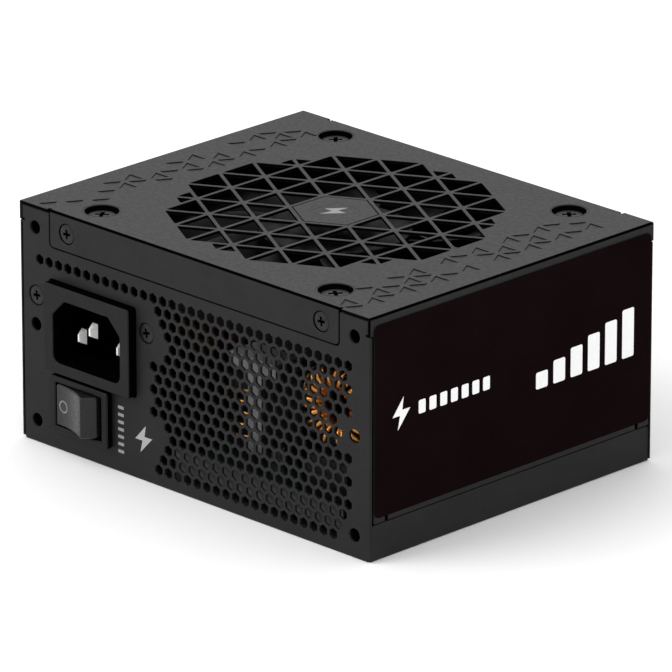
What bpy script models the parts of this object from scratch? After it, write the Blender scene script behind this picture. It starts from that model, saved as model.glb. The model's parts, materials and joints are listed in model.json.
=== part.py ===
"""Small form factor power supply unit for a desktop computer.

X runs across the mains panel, the mains panel faces -Y, the modular sockets face +Y and
the fan faces +Z. The origin is under the middle of the unit, on the face it rests on.
Sizes are written in millimetres, and MM turns them into Blender's metres.
"""

import math

import bmesh
import bpy
from mathutils import Matrix, Vector

MM = 0.001

# Case
WIDTH = 125.0
DEPTH = 100.0
HEIGHT = 63.5
SHEET = 0.8
GAP = 0.3
LABEL_THICKNESS = 0.2
BEND = 1.0
FLANGE_HEIGHT = 9.5
TAB_HALF = 51.0
TAB_BOTTOM = 53.8
SHOULDER = 58.3
COVER_SCREW_X = 45.0
COVER_SCREW_Z = 58.4
MOUNT_X = 56.5
MOUNT_ROWS = (6.0, 31.75, 57.5)
MOUNT_RADIUS = 1.8

# Vents in the mains panel: rows of hexagons, each row given as its first and last column
VENT_RADIUS = 1.45
VENT_STEP = 1.706
VENT_LEFT = -54.92
VENT_TOP = 49.33
VENT_ROW_STEP = 3.0
VENT_ROWS = ((0, 64), (25, 63), (26, 64), (27, 63), (28, 64), (27, 61), (24, 62), (25, 61),
             (24, 64), (25, 63), (24, 64), (27, 63), (28, 64), (27, 63), (26, 62), (25, 61))

# Fan grille: equilateral triangles between straight bars
CELL_SIDE = 12.0
BAR = 1.15
GRILLE_REACH = 43.4
GRILLE_HUB = 8.0

# Fan
FAN_SIZE = 92.0
FAN_THICKNESS = 15.0
FAN_BORE = 45.0
FAN_HOLE = 41.25
DIMPLE_RADIUS = 4.7
DIMPLE_DEPTH = 2.2
HUB_RADIUS = 19.5
BLADE_TIP = 43.2
BLADES = 9

# Mains inlet
INLET_X = -35.8
INLET_Z = 33.3
INLET_PROUD = 2.4
EARTH_Z = 35.0
LIVE_Z = 31.0
PIN_SPACING = 7.0
EAR_X = INLET_X - 0.55
EAR_Z = 39.5
EAR_SPACING = 39.7

# Rocker switch: the rocker's outline is given about its pivot, in its middle position
SWITCH_X = -39.35
SWITCH_Z = 13.15
BEZEL_PROUD = 2.0
BEZEL_GAP = 0.4
PIVOT_DEPTH = 4.0
ROCKER_TILT = math.radians(14.5)
TIP_SIDE = 6.0
TIP_OUT = 7.75
ROCKER_DISH = 0.9
ROCKER_HALF_HEIGHT = 5.45
TERMINALS = (-4.5, 4.5)

# Modular sockets: name, pairs of ways, centre across and centre up
SOCKET_PROUD = 1.0
WAY_PITCH = 4.2
SOCKETS = (("socket_board_18_way", 9, -36.0, 18.5), ("socket_board_10_way", 5, 0.0, 18.5),
           ("socket_drives", 3, 25.0, 18.5), ("socket_power_a", 4, -45.0, 35.0),
           ("socket_power_b", 4, -22.0, 35.0), ("socket_power_c", 4, 1.0, 35.0),
           ("socket_power_d", 4, 24.0, 35.0))

# Places that follow from the sizes above
ROCKER_PROUD = TIP_OUT * math.cos(ROCKER_TILT) + TIP_SIDE * math.sin(ROCKER_TILT) - PIVOT_DEPTH
FRONT = (ROCKER_PROUD - SOCKET_PROUD - DEPTH) / 2
REAR = FRONT + DEPTH
COVER_HALF = WIDTH / 2 - LABEL_THICKNESS - 0.2
TRAY_HALF = COVER_HALF - 0.4
COVER_BOTTOM = FLANGE_HEIGHT + 0.4
PLATE_TOP = HEIGHT - SHEET - GAP
FAN_Y = FRONT + DEPTH / 2
FAN_TOP = HEIGHT - DIMPLE_DEPTH - SHEET - GAP
FAN_BOTTOM = FAN_TOP - FAN_THICKNESS
BOARD_BOTTOM = 6.0
BOARD_TOP = BOARD_BOTTOM + 1.6
SEAT = BOARD_TOP + GAP
MODULAR_BOARD_Y = REAR - 12.0
STANDOFFS = ((-54.0, FRONT + 26.0), (54.0, FRONT + 9.0), (-54.0, REAR - 18.0), (54.0, REAR - 18.0))

# Inlet pins: name, centre across, centre up and how far the tip lies behind the panel's face
INLET_PINS = (("inlet_pin_line", INLET_X - PIN_SPACING, LIVE_Z, 0.8),
              ("inlet_pin_neutral", INLET_X + PIN_SPACING, LIVE_Z, 0.8),
              ("inlet_pin_earth", INLET_X, EARTH_Z, -2.0))

TO_AXIS = {"X": Matrix.Rotation(math.pi / 2, 4, "Y"),
           "Y": Matrix.Rotation(-math.pi / 2, 4, "X"),
           "Z": Matrix.Identity(4)}


# Scene helpers

def clear_scene():
    for old in list(bpy.data.objects):
        bpy.data.objects.remove(old, do_unlink=True)


def new_collection(name):
    collection = bpy.data.collections.new(name)
    bpy.context.scene.collection.children.link(collection)
    return collection


def finish(name, colour, roughness, metallic=0.0):
    material = bpy.data.materials.new(name)
    material.use_nodes = True
    shader = material.node_tree.nodes["Principled BSDF"]
    shader.inputs["Base Color"].default_value = (*colour, 1.0)
    shader.inputs["Roughness"].default_value = roughness
    shader.inputs["Metallic"].default_value = metallic
    material.diffuse_color = (*colour, 1.0)
    return material


def new_object(name, bm, at, collection):
    """Makes an object of a mesh drawn in millimetres, with its origin at the point `at`."""
    bmesh.ops.translate(bm, verts=bm.verts, vec=-Vector(at))
    bmesh.ops.scale(bm, verts=bm.verts, vec=(MM, MM, MM))
    bmesh.ops.recalc_face_normals(bm, faces=bm.faces)
    mesh = bpy.data.meshes.new(name)
    bm.to_mesh(mesh)
    bm.free()
    mesh.shade_smooth()
    mesh.set_sharp_from_angle(angle=math.radians(30))
    item = bpy.data.objects.new(name, mesh)
    item.location = Vector(at) * MM
    collection.objects.link(item)
    return item


def solid(name, material, draw, at=(0, 0, 0)):
    """Makes one piece of the unit. `draw` fills an empty bmesh."""
    bm = bmesh.new()
    draw(bm)
    item = new_object(name, bm, at, PARTS)
    item.data.materials.append(material)
    return item


def shape(item, draw, operation="DIFFERENCE"):
    """Cuts a tool out of a piece, or joins it on. `draw` fills the tool's bmesh, and its bodies may overlap."""
    bm = bmesh.new()
    draw(bm)
    tool = new_object(f"{item.name}_{operation.lower()}_{len(item.modifiers)}", bm, (0, 0, 0), CUTTERS)
    tool.hide_render = True
    tool.display_type = "WIRE"
    modifier = item.modifiers.new(operation.title(), "BOOLEAN")
    modifier.operation = operation
    modifier.solver = "EXACT"
    modifier.use_self = True
    modifier.object = tool


def join(item, draw):
    shape(item, draw, "UNION")


# Drawing helpers, all in millimetres

def add_box(bm, low, high):
    low, high = Vector(low), Vector(high)
    place = Matrix.Translation((low + high) / 2) @ Matrix.Diagonal((*(high - low), 1))
    return bmesh.ops.create_cube(bm, size=1, matrix=place)["verts"]


def add_block(bm, x, y, z, half_x, half_z, depth):
    """Adds a box centred on x and z that runs `depth` along Y from y."""
    return add_box(bm, (x - half_x, y, z - half_z), (x + half_x, y + depth, z + half_z))


def add_prism(bm, centre, radius, length, sides, axis="Z", turn=0.0, far_radius=None):
    """Adds a prism or a cone centred on a point. `far_radius` is the radius at the axis's high end."""
    place = Matrix.Translation(centre) @ TO_AXIS[axis] @ Matrix.Rotation(turn, 4, "Z")
    far = radius if far_radius is None else far_radius
    return bmesh.ops.create_cone(bm, cap_ends=True, segments=sides, radius1=radius, radius2=far,
                                 depth=length, matrix=place)["verts"]


def add_rod(bm, x, y, low, high, radius, sides):
    """Adds an upright cylinder."""
    add_prism(bm, (x, y, (low + high) / 2), radius, high - low, sides)


def round_edges(bm, axis, radius, segments=2, wanted=lambda middle: True):
    """Rounds the edges that run along one axis."""
    index = "XYZ".index(axis)
    edges = []
    for edge in bm.edges:
        run = edge.verts[1].co - edge.verts[0].co
        middle = (edge.verts[0].co + edge.verts[1].co) / 2
        if abs(run[index]) > 0.999 * run.length and wanted(middle):
            edges.append(edge)
    bmesh.ops.bevel(bm, geom=edges, offset=radius, segments=segments, profile=0.5, affect="EDGES")


def rounded_box(low, high, axis, radius, segments=2):
    """Gives a draw function for a box whose edges along one axis are rounded."""
    def draw(bm):
        add_box(bm, low, high)
        round_edges(bm, axis, radius, segments)
    return draw


def plain_box(low, high):
    return lambda bm: add_box(bm, low, high)


def turned(name, material, profile, at, axis="Z", steps=24):
    """Makes a turned piece from a profile of (radius, height) points that runs top to bottom."""
    bm = bmesh.new()
    points = [bm.verts.new((radius, 0, height)) for radius, height in profile]
    for first, second in zip(points, points[1:]):
        bm.edges.new((first, second))
    item = new_object(name, bm, (0, 0, 0), PARTS)
    item.location = Vector(at) * MM
    item.rotation_euler = TO_AXIS[axis].to_euler()
    item.data.materials.append(material)
    screw = item.modifiers.new("Turn", "SCREW")
    screw.steps = steps
    screw.render_steps = steps
    screw.use_merge_vertices = True
    screw.merge_threshold = 0.00001
    screw.use_smooth_shade = True
    return item


def ring(name, material, centre, inner, outer, low, high, steps=32):
    """Makes an upright ring with a square section."""
    profile = ((outer, high), (outer, low), (inner, low), (inner, high), (outer, high))
    return turned(name, material, profile, (*centre, 0), "Z", steps)


# Case

def draw_end_plate(bm, outer, inward):
    """Draws an end plate without its joggle. `inward` is +1 on the mains panel and -1 at the far end."""
    add_box(bm, (-COVER_HALF, outer, 0), (COVER_HALF, outer + inward * SHEET, PLATE_TOP))
    round_edges(bm, "Z", 0.6, 2, lambda middle: abs(middle.y - outer) < 0.1)


def draw_joggle(bm, outer, inward):
    """Draws the shelf behind the cover's tab, before its pocket is cut."""
    add_box(bm, (-TAB_HALF - 1.2, outer + inward * 0.4, TAB_BOTTOM - 1.2),
            (TAB_HALF + 1.2, outer + inward * (2 * SHEET + GAP), PLATE_TOP))


def draw_plate_cuts(bm, outer, inward):
    """Draws the tab's pocket, the shoulders beside it and the cover screws' holes."""
    add_box(bm, (-TAB_HALF - 0.4, outer - inward, TAB_BOTTOM - 0.4),
            (TAB_HALF + 0.4, outer + inward * (SHEET + GAP), HEIGHT))
    for side in (-1, 1):
        inner = side * (COVER_HALF - SHEET - GAP)
        add_box(bm, (inner, outer - inward, SHOULDER), (side * WIDTH, outer + inward * 2, HEIGHT))
        add_prism(bm, (side * COVER_SCREW_X, outer, COVER_SCREW_Z), 1.7, 8, 12, "Y")


def make_mains_panel():
    panel = solid("ac_panel", GREY_STEEL, lambda bm: draw_end_plate(bm, FRONT, 1))
    join(panel, lambda bm: draw_joggle(bm, FRONT, 1))

    def cut_openings(bm):
        draw_plate_cuts(bm, FRONT, 1)
        add_block(bm, INLET_X, FRONT - 1, INLET_Z, 15.7, 12.0, 3)
        add_block(bm, SWITCH_X, FRONT - 1, SWITCH_Z, 10.1, 7.0, 3)
        for side in (-1, 1):
            for z in MOUNT_ROWS:
                add_prism(bm, (side * MOUNT_X, FRONT, z), MOUNT_RADIUS, 4, 12, "Y")
            add_prism(bm, (EAR_X + side * EAR_SPACING / 2, FRONT + 0.3, EAR_Z), 3.1, 1.2, 16, "Y", far_radius=1.9)

    def cut_vents(bm):
        for row, (first, last) in enumerate(VENT_ROWS):
            for column in range(first, last + 1, 2):
                place = (VENT_LEFT + column * VENT_STEP, FRONT, VENT_TOP - row * VENT_ROW_STEP)
                add_prism(bm, place, VENT_RADIUS, 4, 6, "Y")

    shape(panel, cut_openings)
    shape(panel, cut_vents)


def make_tray():
    def draw_channel(bm):
        add_box(bm, (-TRAY_HALF, FRONT + SHEET + GAP, 0), (TRAY_HALF, REAR - 0.4, FLANGE_HEIGHT))
        round_edges(bm, "Y", BEND, 2, lambda middle: middle.z < 0.1)

    def draw_hollow(bm):
        inner = TRAY_HALF - SHEET
        add_box(bm, (-inner, FRONT - 1, SHEET), (inner, REAR - 0.6, HEIGHT))

    def draw_standoffs(bm):
        for x, y in STANDOFFS:
            add_prism(bm, (x, y, (SHEET / 2 + BOARD_BOTTOM - GAP) / 2), 4.0,
                      BOARD_BOTTOM - GAP - SHEET / 2, 12, far_radius=2.5)

    def cut_sockets(bm):
        for _, columns, x, z in SOCKETS:
            half = columns * WAY_PITCH / 2 + 0.6 + GAP
            add_block(bm, x, REAR - 4, z, half, WAY_PITCH + 0.6 + GAP, 8)

    tray = solid("chassis_tray", GREY_STEEL, draw_channel)
    shape(tray, draw_hollow)
    join(tray, lambda bm: draw_end_plate(bm, REAR, -1))
    join(tray, lambda bm: draw_joggle(bm, REAR, -1))
    join(tray, draw_standoffs)
    shape(tray, lambda bm: draw_plate_cuts(bm, REAR, -1))
    shape(tray, cut_sockets)


def grille_holes():
    """Yields the centre, side and pointing direction of each open triangle of the grille.

    The triangles at six outer nodes of the lattice are half size. The six round the middle
    stay closed and make the plate for the badge.
    """
    for column in range(-5, 6):
        for row in range(-6, 6):
            for pointing in (-1, 1):
                base = Vector((column * CELL_SIDE * math.sqrt(3) / 2, (row + column % 2 / 2) * CELL_SIDE))
                corners = [base, base + Vector((0, CELL_SIDE)),
                           base + Vector((pointing * CELL_SIDE * math.sqrt(3) / 2, CELL_SIDE / 2))]
                centre = sum(corners, Vector((0, 0))) / 3
                reach = max(corner.length for corner in corners)
                nearest = min(corners, key=lambda corner: corner.length)
                if reach <= GRILLE_REACH and centre.length > GRILLE_HUB:
                    yield centre, CELL_SIDE, pointing
                elif abs(reach - 4 * CELL_SIDE) < 0.1 and abs(nearest.length - 3 * CELL_SIDE) < 0.1:
                    yield (nearest + centre) / 2, CELL_SIDE / 2, pointing


def make_cover():
    def draw_shell(bm):
        add_box(bm, (-COVER_HALF, FRONT, COVER_BOTTOM), (COVER_HALF, REAR, HEIGHT))
        round_edges(bm, "Y", BEND, 2, lambda middle: middle.z > HEIGHT - 0.1)

    def draw_hollow(bm):
        inner = COVER_HALF - SHEET
        add_box(bm, (-inner, FRONT + SHEET, 0), (inner, REAR - SHEET, HEIGHT - SHEET))

    def cut_ends(bm):
        inner = COVER_HALF - SHEET
        for outer, inward in ((FRONT, 1), (REAR, -1)):
            outside = outer - inward
            add_box(bm, (-COVER_HALF - 1, outside, 0), (COVER_HALF + 1, outer + inward * (SHEET + GAP), TAB_BOTTOM))
            for side in (-1, 1):
                edge = side * TAB_HALF
                add_box(bm, (edge, outside, TAB_BOTTOM - 1),
                        (side * (COVER_HALF + 1), outer + inward * (SHEET + GAP), SHOULDER + GAP))
                add_box(bm, (edge, outside, SHOULDER), (side * inner, outer + inward * SHEET, HEIGHT - SHEET))
                add_box(bm, (edge, outside, HEIGHT - 1.5), (edge + side, outer + inward * 1.5, HEIGHT + 1))

    def cut_tab_holes(bm):
        for outer, inward in ((FRONT, 1), (REAR, -1)):
            for side in (-1, 1):
                place = (side * COVER_SCREW_X, outer + inward * 0.3, COVER_SCREW_Z)
                near, far = (3.1, 1.9) if inward > 0 else (1.9, 3.1)
                add_prism(bm, place, near, 1.2, 16, "Y", far_radius=far)

    def draw_dimples(bm):
        for x, y in fan_holes():
            add_rod(bm, x, y, HEIGHT - DIMPLE_DEPTH - SHEET, HEIGHT - SHEET / 2, DIMPLE_RADIUS + 0.6, 20)

    def cut_dimples(bm):
        for x, y in fan_holes():
            add_prism(bm, (x, y, HEIGHT + 1 - (DIMPLE_DEPTH + 1) / 2), DIMPLE_RADIUS - 0.3, DIMPLE_DEPTH + 1,
                      20, far_radius=DIMPLE_RADIUS + 0.1)
            add_rod(bm, x, y, FAN_TOP, HEIGHT, 2.2, 12)

    def cut_grille(bm):
        for centre, side, pointing in grille_holes():
            inside = side / (2 * math.sqrt(3)) - BAR / 2
            place = (centre.x, FAN_Y + centre.y, HEIGHT)
            add_prism(bm, place, 2 * inside, 4, 3, "Z", -pointing * math.pi / 2)

    def cut_badge_seat(bm):
        add_box(bm, (-4.8, FAN_Y - 5.3, HEIGHT - 0.5), (4.8, FAN_Y + 4.8, HEIGHT + 1))

    cover = solid("top_cover", BLACK_STEEL, draw_shell)
    shape(cover, draw_hollow)
    shape(cover, cut_ends)
    shape(cover, cut_tab_holes)
    join(cover, draw_dimples)
    shape(cover, cut_dimples)
    shape(cover, cut_grille)
    shape(cover, cut_badge_seat)


def make_labels():
    for name, side in (("side_label_left", -1), ("side_label_right", 1)):
        outer = side * WIDTH / 2
        inner = outer - side * LABEL_THICKNESS
        solid(name, LABEL_FILM, rounded_box((inner, FRONT + 1.0, 11.4), (outer, REAR - 1.1, 61.2), "X", 1.75, 3))
    badge = rounded_box((-4.5, FAN_Y - 5.0, HEIGHT - 0.3), (4.5, FAN_Y + 4.5, HEIGHT), "Z", 0.5, 2)
    solid("grille_badge", BADGE_METAL, badge)


# Fasteners

def make_screw(name, place, axis, profile, cross_depth, turn=0.0):
    """Makes a cross-head screw whose head's top is at height 0 of the profile."""
    screw = turned(name, SCREW_STEEL, profile, place, axis, 12)
    tilt = screw.rotation_euler.to_matrix().to_4x4()

    def cut_cross(bm):
        for quarter in (0, 1):
            half = Vector((1.6, 0.32)) if quarter else Vector((0.32, 1.6))
            verts = add_box(bm, (-half.x, -half.y, quarter * 0.05 - cross_depth), (half.x, half.y, 1 + quarter * 0.2))
            bmesh.ops.transform(bm, matrix=Matrix.Translation(place) @ tilt @ Matrix.Rotation(turn, 4, "Z"),
                                verts=verts)

    shape(screw, cut_cross)
    return screw


def flush_profile(length):
    """Gives a countersunk head and a plain shank."""
    return ((0, 0), (2.5, 0), (2.5, -0.2), (1.3, -1.2), (1.3, -length), (0, -length))


def fan_holes():
    return [(x * FAN_HOLE, FAN_Y + y * FAN_HOLE) for x in (-1, 1) for y in (-1, 1)]


def make_screws():
    for end, outer, inward in (("front", FRONT, 1), ("rear", REAR, -1)):
        for side_name, side in (("left", -1), ("right", 1)):
            place = (side * COVER_SCREW_X, outer + inward * 0.1, COVER_SCREW_Z)
            screw = make_screw(f"cover_screw_{end}_{side_name}", place, "Y", flush_profile(3.4), 0.9)
            if inward > 0:
                turn_round(screw)
    for side_name, side in (("left", -1), ("right", 1)):
        place = (EAR_X + side * EAR_SPACING / 2, FRONT + 0.1, EAR_Z)
        turn_round(make_screw(f"inlet_screw_{side_name}", place, "Y", flush_profile(6.0), 0.9))
    pan = ((0, 0), (3.3, 0), (3.8, -0.35), (3.8, -1.0), (1.6, -1.0), (1.6, -9.0), (0, -9.0))
    for number, (x, y) in enumerate(fan_holes(), 1):
        make_screw(f"fan_screw_{number}", (x, y, HEIGHT - 0.95), "Z", pan, 0.6, math.pi / 4)


def turn_round(screw):
    """Turns a screw and its cross end for end along Y."""
    flip = Matrix.Rotation(math.pi, 4, "X")
    screw.rotation_euler = (flip @ TO_AXIS["Y"]).to_euler()
    for modifier in screw.modifiers:
        if modifier.type == "BOOLEAN":
            tool = modifier.object
            centre = Vector(screw.location)
            tool.data.transform(Matrix.Translation(centre) @ flip @ Matrix.Translation(-centre))


# Mains inlet

def make_inlet():
    def draw_front(bm):
        add_block(bm, INLET_X, FRONT - INLET_PROUD, INLET_Z, 15.4, 11.7, INLET_PROUD + 2)
        round_edges(bm, "Y", 0.6, 1)

    def draw_ears(bm):
        add_block(bm, INLET_X, FRONT + SHEET + GAP, INLET_Z, 16.6, 12.4, 2.5)
        add_block(bm, EAR_X, FRONT + SHEET + GAP, EAR_Z, EAR_SPACING / 2 + 4.0, 3.2, 2.4)

    def draw_back(bm):
        add_block(bm, INLET_X, FRONT + 3, 33.0, 14.0, 10.0, 12)

    def cut_mouth(bm):
        add_box(bm, (INLET_X - 12.1, FRONT - 4, 24.5), (INLET_X + 12.1, FRONT + 12.5, 41.4))
        round_edges(bm, "Y", 4.2, 1, lambda middle: middle.z > 41)
        round_edges(bm, "Y", 2.2, 3, lambda middle: middle.z < 25)

    def cut_pin_slots(bm):
        for _, x, z, _ in INLET_PINS:
            add_block(bm, x, FRONT + 11, z, 1.3, 2.3, 6)

    def cut_ear_holes(bm):
        for side in (-1, 1):
            add_prism(bm, (EAR_X + side * EAR_SPACING / 2, FRONT + 2, EAR_Z), 1.6, 8, 12, "Y")

    housing = solid("inlet_housing", BLACK_PLASTIC, draw_front)
    join(housing, draw_ears)
    join(housing, draw_back)
    shape(housing, cut_mouth)
    shape(housing, cut_pin_slots)
    shape(housing, cut_ear_holes)
    for name, x, z, tip in INLET_PINS:
        solid(name, PLATED_BRASS, pin_drawing(x, z, tip))


def pin_drawing(x, z, tip):
    """Gives a draw function for a mains pin whose end tapers from 4 mm to 2 mm high."""
    def draw(bm):
        add_block(bm, x, FRONT + tip, z, 1.0, 2.0, 21.0 - tip)
        for vert in bm.verts:
            if vert.co.y < FRONT + tip + 0.1:
                vert.co.z = z + math.copysign(1.0, vert.co.z - z)
        bmesh.ops.bisect_plane(bm, geom=bm.verts[:] + bm.edges[:] + bm.faces[:],
                               plane_co=(x, FRONT + tip + 2.3, z), plane_no=(0, 1, 0))
        for vert in bm.verts:
            if vert.co.y > FRONT + tip + 0.1:
                vert.co.z = z + math.copysign(2.0, vert.co.z - z)
    return draw


# Rocker switch

def rocker_outline():
    """Gives the rocker's outline about its pivot, as points across and outward, in its middle position."""
    face = [(TIP_SIDE * math.sin(angle), TIP_OUT - ROCKER_DISH * math.cos(angle) ** 2)
            for angle in (math.pi / 2 * step / 5 for step in range(5, -6, -1))]
    return face + [(-7.95, 4.0), (-7.0, 1.0), (-4.5, -1.8), (0, -2.5), (4.5, -1.8), (7.0, 1.0), (7.95, 4.0)]


def make_switch():
    pivot = (SWITCH_X, FRONT + PIVOT_DEPTH, SWITCH_Z)

    def draw_bezel(bm):
        add_block(bm, SWITCH_X, FRONT - BEZEL_PROUD, SWITCH_Z, 10.55, 7.45, BEZEL_PROUD - BEZEL_GAP)
        round_edges(bm, "Y", 0.6, 2)

    def draw_body(bm):
        add_block(bm, SWITCH_X, FRONT - 1, SWITCH_Z, 9.8, 6.7, 13)

    def cut_well(bm):
        add_block(bm, SWITCH_X, FRONT - 4, SWITCH_Z, 8.3, 5.85, 8)
        add_block(bm, SWITCH_X, FRONT - 0.9, SWITCH_Z, 9.0, 5.85, 11.4)

    def cut_small_holes(bm):
        add_prism(bm, pivot, 1.3, 20, 12, "Z")
        for x in TERMINALS:
            add_block(bm, SWITCH_X + x, FRONT + 9, SWITCH_Z, 0.7, 2.7, 5)

    housing = solid("switch_housing", BLACK_PLASTIC, draw_bezel)
    join(housing, draw_body)
    shape(housing, cut_well)
    shape(housing, cut_small_holes)
    for number, x in enumerate(TERMINALS, 1):
        low = (SWITCH_X + x - 0.4, FRONT + 8.5, SWITCH_Z - 2.4)
        high = (SWITCH_X + x + 0.4, FRONT + 18.0, SWITCH_Z + 2.4)
        solid(f"switch_terminal_{number}", PLATED_BRASS, plain_box(low, high))

    def draw_rocker(bm):
        cosine = math.cos(ROCKER_TILT)
        sine = math.sin(ROCKER_TILT)
        points = []
        for across, out in rocker_outline():
            place = (pivot[0] + across * cosine - out * sine, pivot[1] - across * sine - out * cosine)
            points.append(bm.verts.new((*place, SWITCH_Z - ROCKER_HALF_HEIGHT)))
        face = bm.faces.new(points)
        raised = bmesh.ops.extrude_face_region(bm, geom=[face])
        tops = [item for item in raised["geom"] if isinstance(item, bmesh.types.BMVert)]
        bmesh.ops.translate(bm, verts=tops, vec=(0, 0, 2 * ROCKER_HALF_HEIGHT))

    rocker = solid("switch_rocker", BLACK_PLASTIC, draw_rocker, pivot)
    join(rocker, lambda bm: add_prism(bm, pivot, 1.0, 2 * ROCKER_HALF_HEIGHT + 1.3, 12, "Z"))


# Fan

def make_fan():
    half = FAN_SIZE / 2

    def draw_frame(bm):
        add_box(bm, (-half, FAN_Y - half, FAN_BOTTOM), (half, FAN_Y + half, FAN_TOP))
        round_edges(bm, "Z", 5.0, 3)

    def cut_bore(bm):
        add_rod(bm, 0, FAN_Y, FAN_BOTTOM - 1, FAN_TOP + 1, FAN_BORE, 64)
        for x, y in fan_holes():
            add_rod(bm, x, y, FAN_BOTTOM - 1, FAN_TOP + 1, 2.1, 12)

    def draw_spokes(bm):
        for quarter in range(4):
            angle = math.pi / 4 + quarter * math.pi / 2
            verts = add_box(bm, (12, -2, FAN_BOTTOM), (FAN_BORE + 2, 2, FAN_BOTTOM + 1.8))
            place = Matrix.Translation((0, FAN_Y, 0)) @ Matrix.Rotation(angle, 4, "Z")
            bmesh.ops.transform(bm, matrix=place, verts=verts)

    def draw_base(bm):
        add_rod(bm, 0, FAN_Y, FAN_BOTTOM, FAN_BOTTOM + 1.4, HUB_RADIUS, 40)
        add_rod(bm, 0, FAN_Y, FAN_BOTTOM + 0.5, FAN_BOTTOM + 9.5, 5.2, 20)

    def cut_boss(bm):
        add_rod(bm, 0, FAN_Y, FAN_BOTTOM + 1.2, FAN_BOTTOM + 12, 4.3, 20)

    frame = solid("fan_frame", FAN_PLASTIC, draw_frame)
    shape(frame, cut_bore)
    join(frame, draw_spokes)
    join(frame, draw_base)
    shape(frame, cut_boss)
    centre = (0, FAN_Y)
    ring("fan_bearing", BEARING_BRONZE, centre, 1.8, 4.0, FAN_BOTTOM + 1.5, FAN_BOTTOM + 10.5, 20)
    ring("fan_circuit_board", BOARD_GREEN, centre, 5.6, 16.3, FAN_BOTTOM + 1.8, FAN_BOTTOM + 2.8)
    ring("fan_magnet_ring", FERRITE, centre, 15.5, 17.1, FAN_BOTTOM + 4.0, FAN_BOTTOM + 11.8)
    make_stator()
    make_rotor()
    solid("fan_shaft", BRIGHT_STEEL,
          lambda bm: add_rod(bm, 0, FAN_Y, FAN_BOTTOM + 1.7, FAN_BOTTOM + 12.4, 1.5, 16), (0, FAN_Y, 0))


def make_stator():
    """Makes the stator: a core of four poles, standing round the bearing's boss."""
    low = FAN_BOTTOM + 4.4
    high = FAN_BOTTOM + 10.2

    def cut_windows(bm):
        add_rod(bm, 0, FAN_Y, low - 1, high + 1, 5.5, 20)
        for quarter in range(4):
            angle = math.pi / 4 + quarter * math.pi / 2
            place = (10.5 * math.cos(angle), FAN_Y + 10.5 * math.sin(angle))
            add_rod(bm, *place, low - 1, high + 1, 3.0, 12)

    stator = solid("fan_stator", COPPER, lambda bm: add_rod(bm, 0, FAN_Y, low, high, 14.5, 32))
    shape(stator, cut_windows)


def make_rotor():
    """Makes the hub cup and its curved blades, which are joined to it."""
    low = FAN_BOTTOM + 3.4
    high = FAN_BOTTOM + 14.0
    steps = 4

    def draw_cup(bm):
        add_rod(bm, 0, FAN_Y, low, high, HUB_RADIUS, 40)

    def cut_cup(bm):
        add_rod(bm, 0, FAN_Y, low - 1, high - 1.3, HUB_RADIUS - 2.0, 40)

    def draw_blades(bm):
        for blade in range(BLADES):
            start = blade * 2 * math.pi / BLADES
            grid = [[blade_point(bm, start, along / steps, across / 3) for along in range(steps + 1)]
                    for across in range(4)]
            for lower, upper in zip(grid, grid[1:]):
                for along in range(steps):
                    bm.faces.new((lower[along], lower[along + 1], upper[along + 1], upper[along]))
        bmesh.ops.recalc_face_normals(bm, faces=bm.faces)
        bmesh.ops.solidify(bm, geom=bm.faces[:], thickness=1.2)

    def blade_point(bm, start, out, across):
        radius = HUB_RADIUS - 0.8 + out * (BLADE_TIP - HUB_RADIUS + 0.8)
        chord = math.radians(34 - 4 * out)
        angle = start + math.radians(26) * out ** 1.3 + chord * (across - 0.5)
        camber = 0.9 * math.sin(math.pi * across)
        height = (low + high) / 2 + (4.2 - 0.6 * out) * (1 - 2 * across) + camber
        return bm.verts.new((radius * math.cos(angle), FAN_Y + radius * math.sin(angle), height))

    rotor = solid("fan_rotor", FAN_PLASTIC, draw_cup, (0, FAN_Y, 0))
    shape(rotor, cut_cup)
    join(rotor, draw_blades)


# Electronics

def make_toroid(name, core_material, centre, axis, radius, tube):
    """Makes a ring choke: a core, and a winding round it that is open over a tenth of the ring."""
    rotation = TO_AXIS[axis].to_euler()

    def torus(minor):
        def draw(bm):
            bpy.ops.mesh.primitive_torus_add(major_segments=24, minor_segments=8, major_radius=radius,
                                             minor_radius=minor, location=centre, rotation=rotation)
            made = bpy.context.object
            made.data.transform(made.matrix_world)
            bm.from_mesh(made.data)
            bpy.data.objects.remove(made, do_unlink=True)
        return draw

    winding = solid(f"{name}_winding", COPPER, torus(tube))
    shape(winding, torus(tube - 1.3))
    reach = radius + tube + 1
    down = Vector((0, -1, 0)) if axis == "Z" else Vector((0, 0, -1))
    middle = Vector(centre) + down * reach / 2
    half = Vector((1.6, reach / 2, tube + 1)) if axis == "Z" else Vector((1.6, tube + 1, reach / 2))
    shape(winding, plain_box(middle - half, middle + half))
    solid(f"{name}_core", core_material, torus(tube - 1.6))


def make_drum_choke(centre):
    """Makes a choke wound on an upright spool."""
    spool = ((0, 25.5), (6.4, 25.5), (6.4, 24.3), (3.4, 24.3), (3.4, 10.2), (6.4, 10.2), (6.4, SEAT), (0, SEAT))
    turned("drum_choke_core", FERRITE, spool, (*centre, 0), "Z", 20)
    ring("drum_choke_winding", COPPER, centre, 3.7, 6.0, 10.5, 24.0, 24)


def make_capacitor(name, x, y, radius, height):
    """Makes an upright can capacitor with a crimp near its foot."""
    profile = ((0, height), (radius - 0.5, height), (radius, height - 0.5), (radius, 3.2),
               (radius - 0.6, 2.6), (radius, 2.0), (radius, 0), (0, 0))
    turned(name, CAPACITOR_FILM, profile, (x, y, SEAT), "Z", 20)


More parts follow.
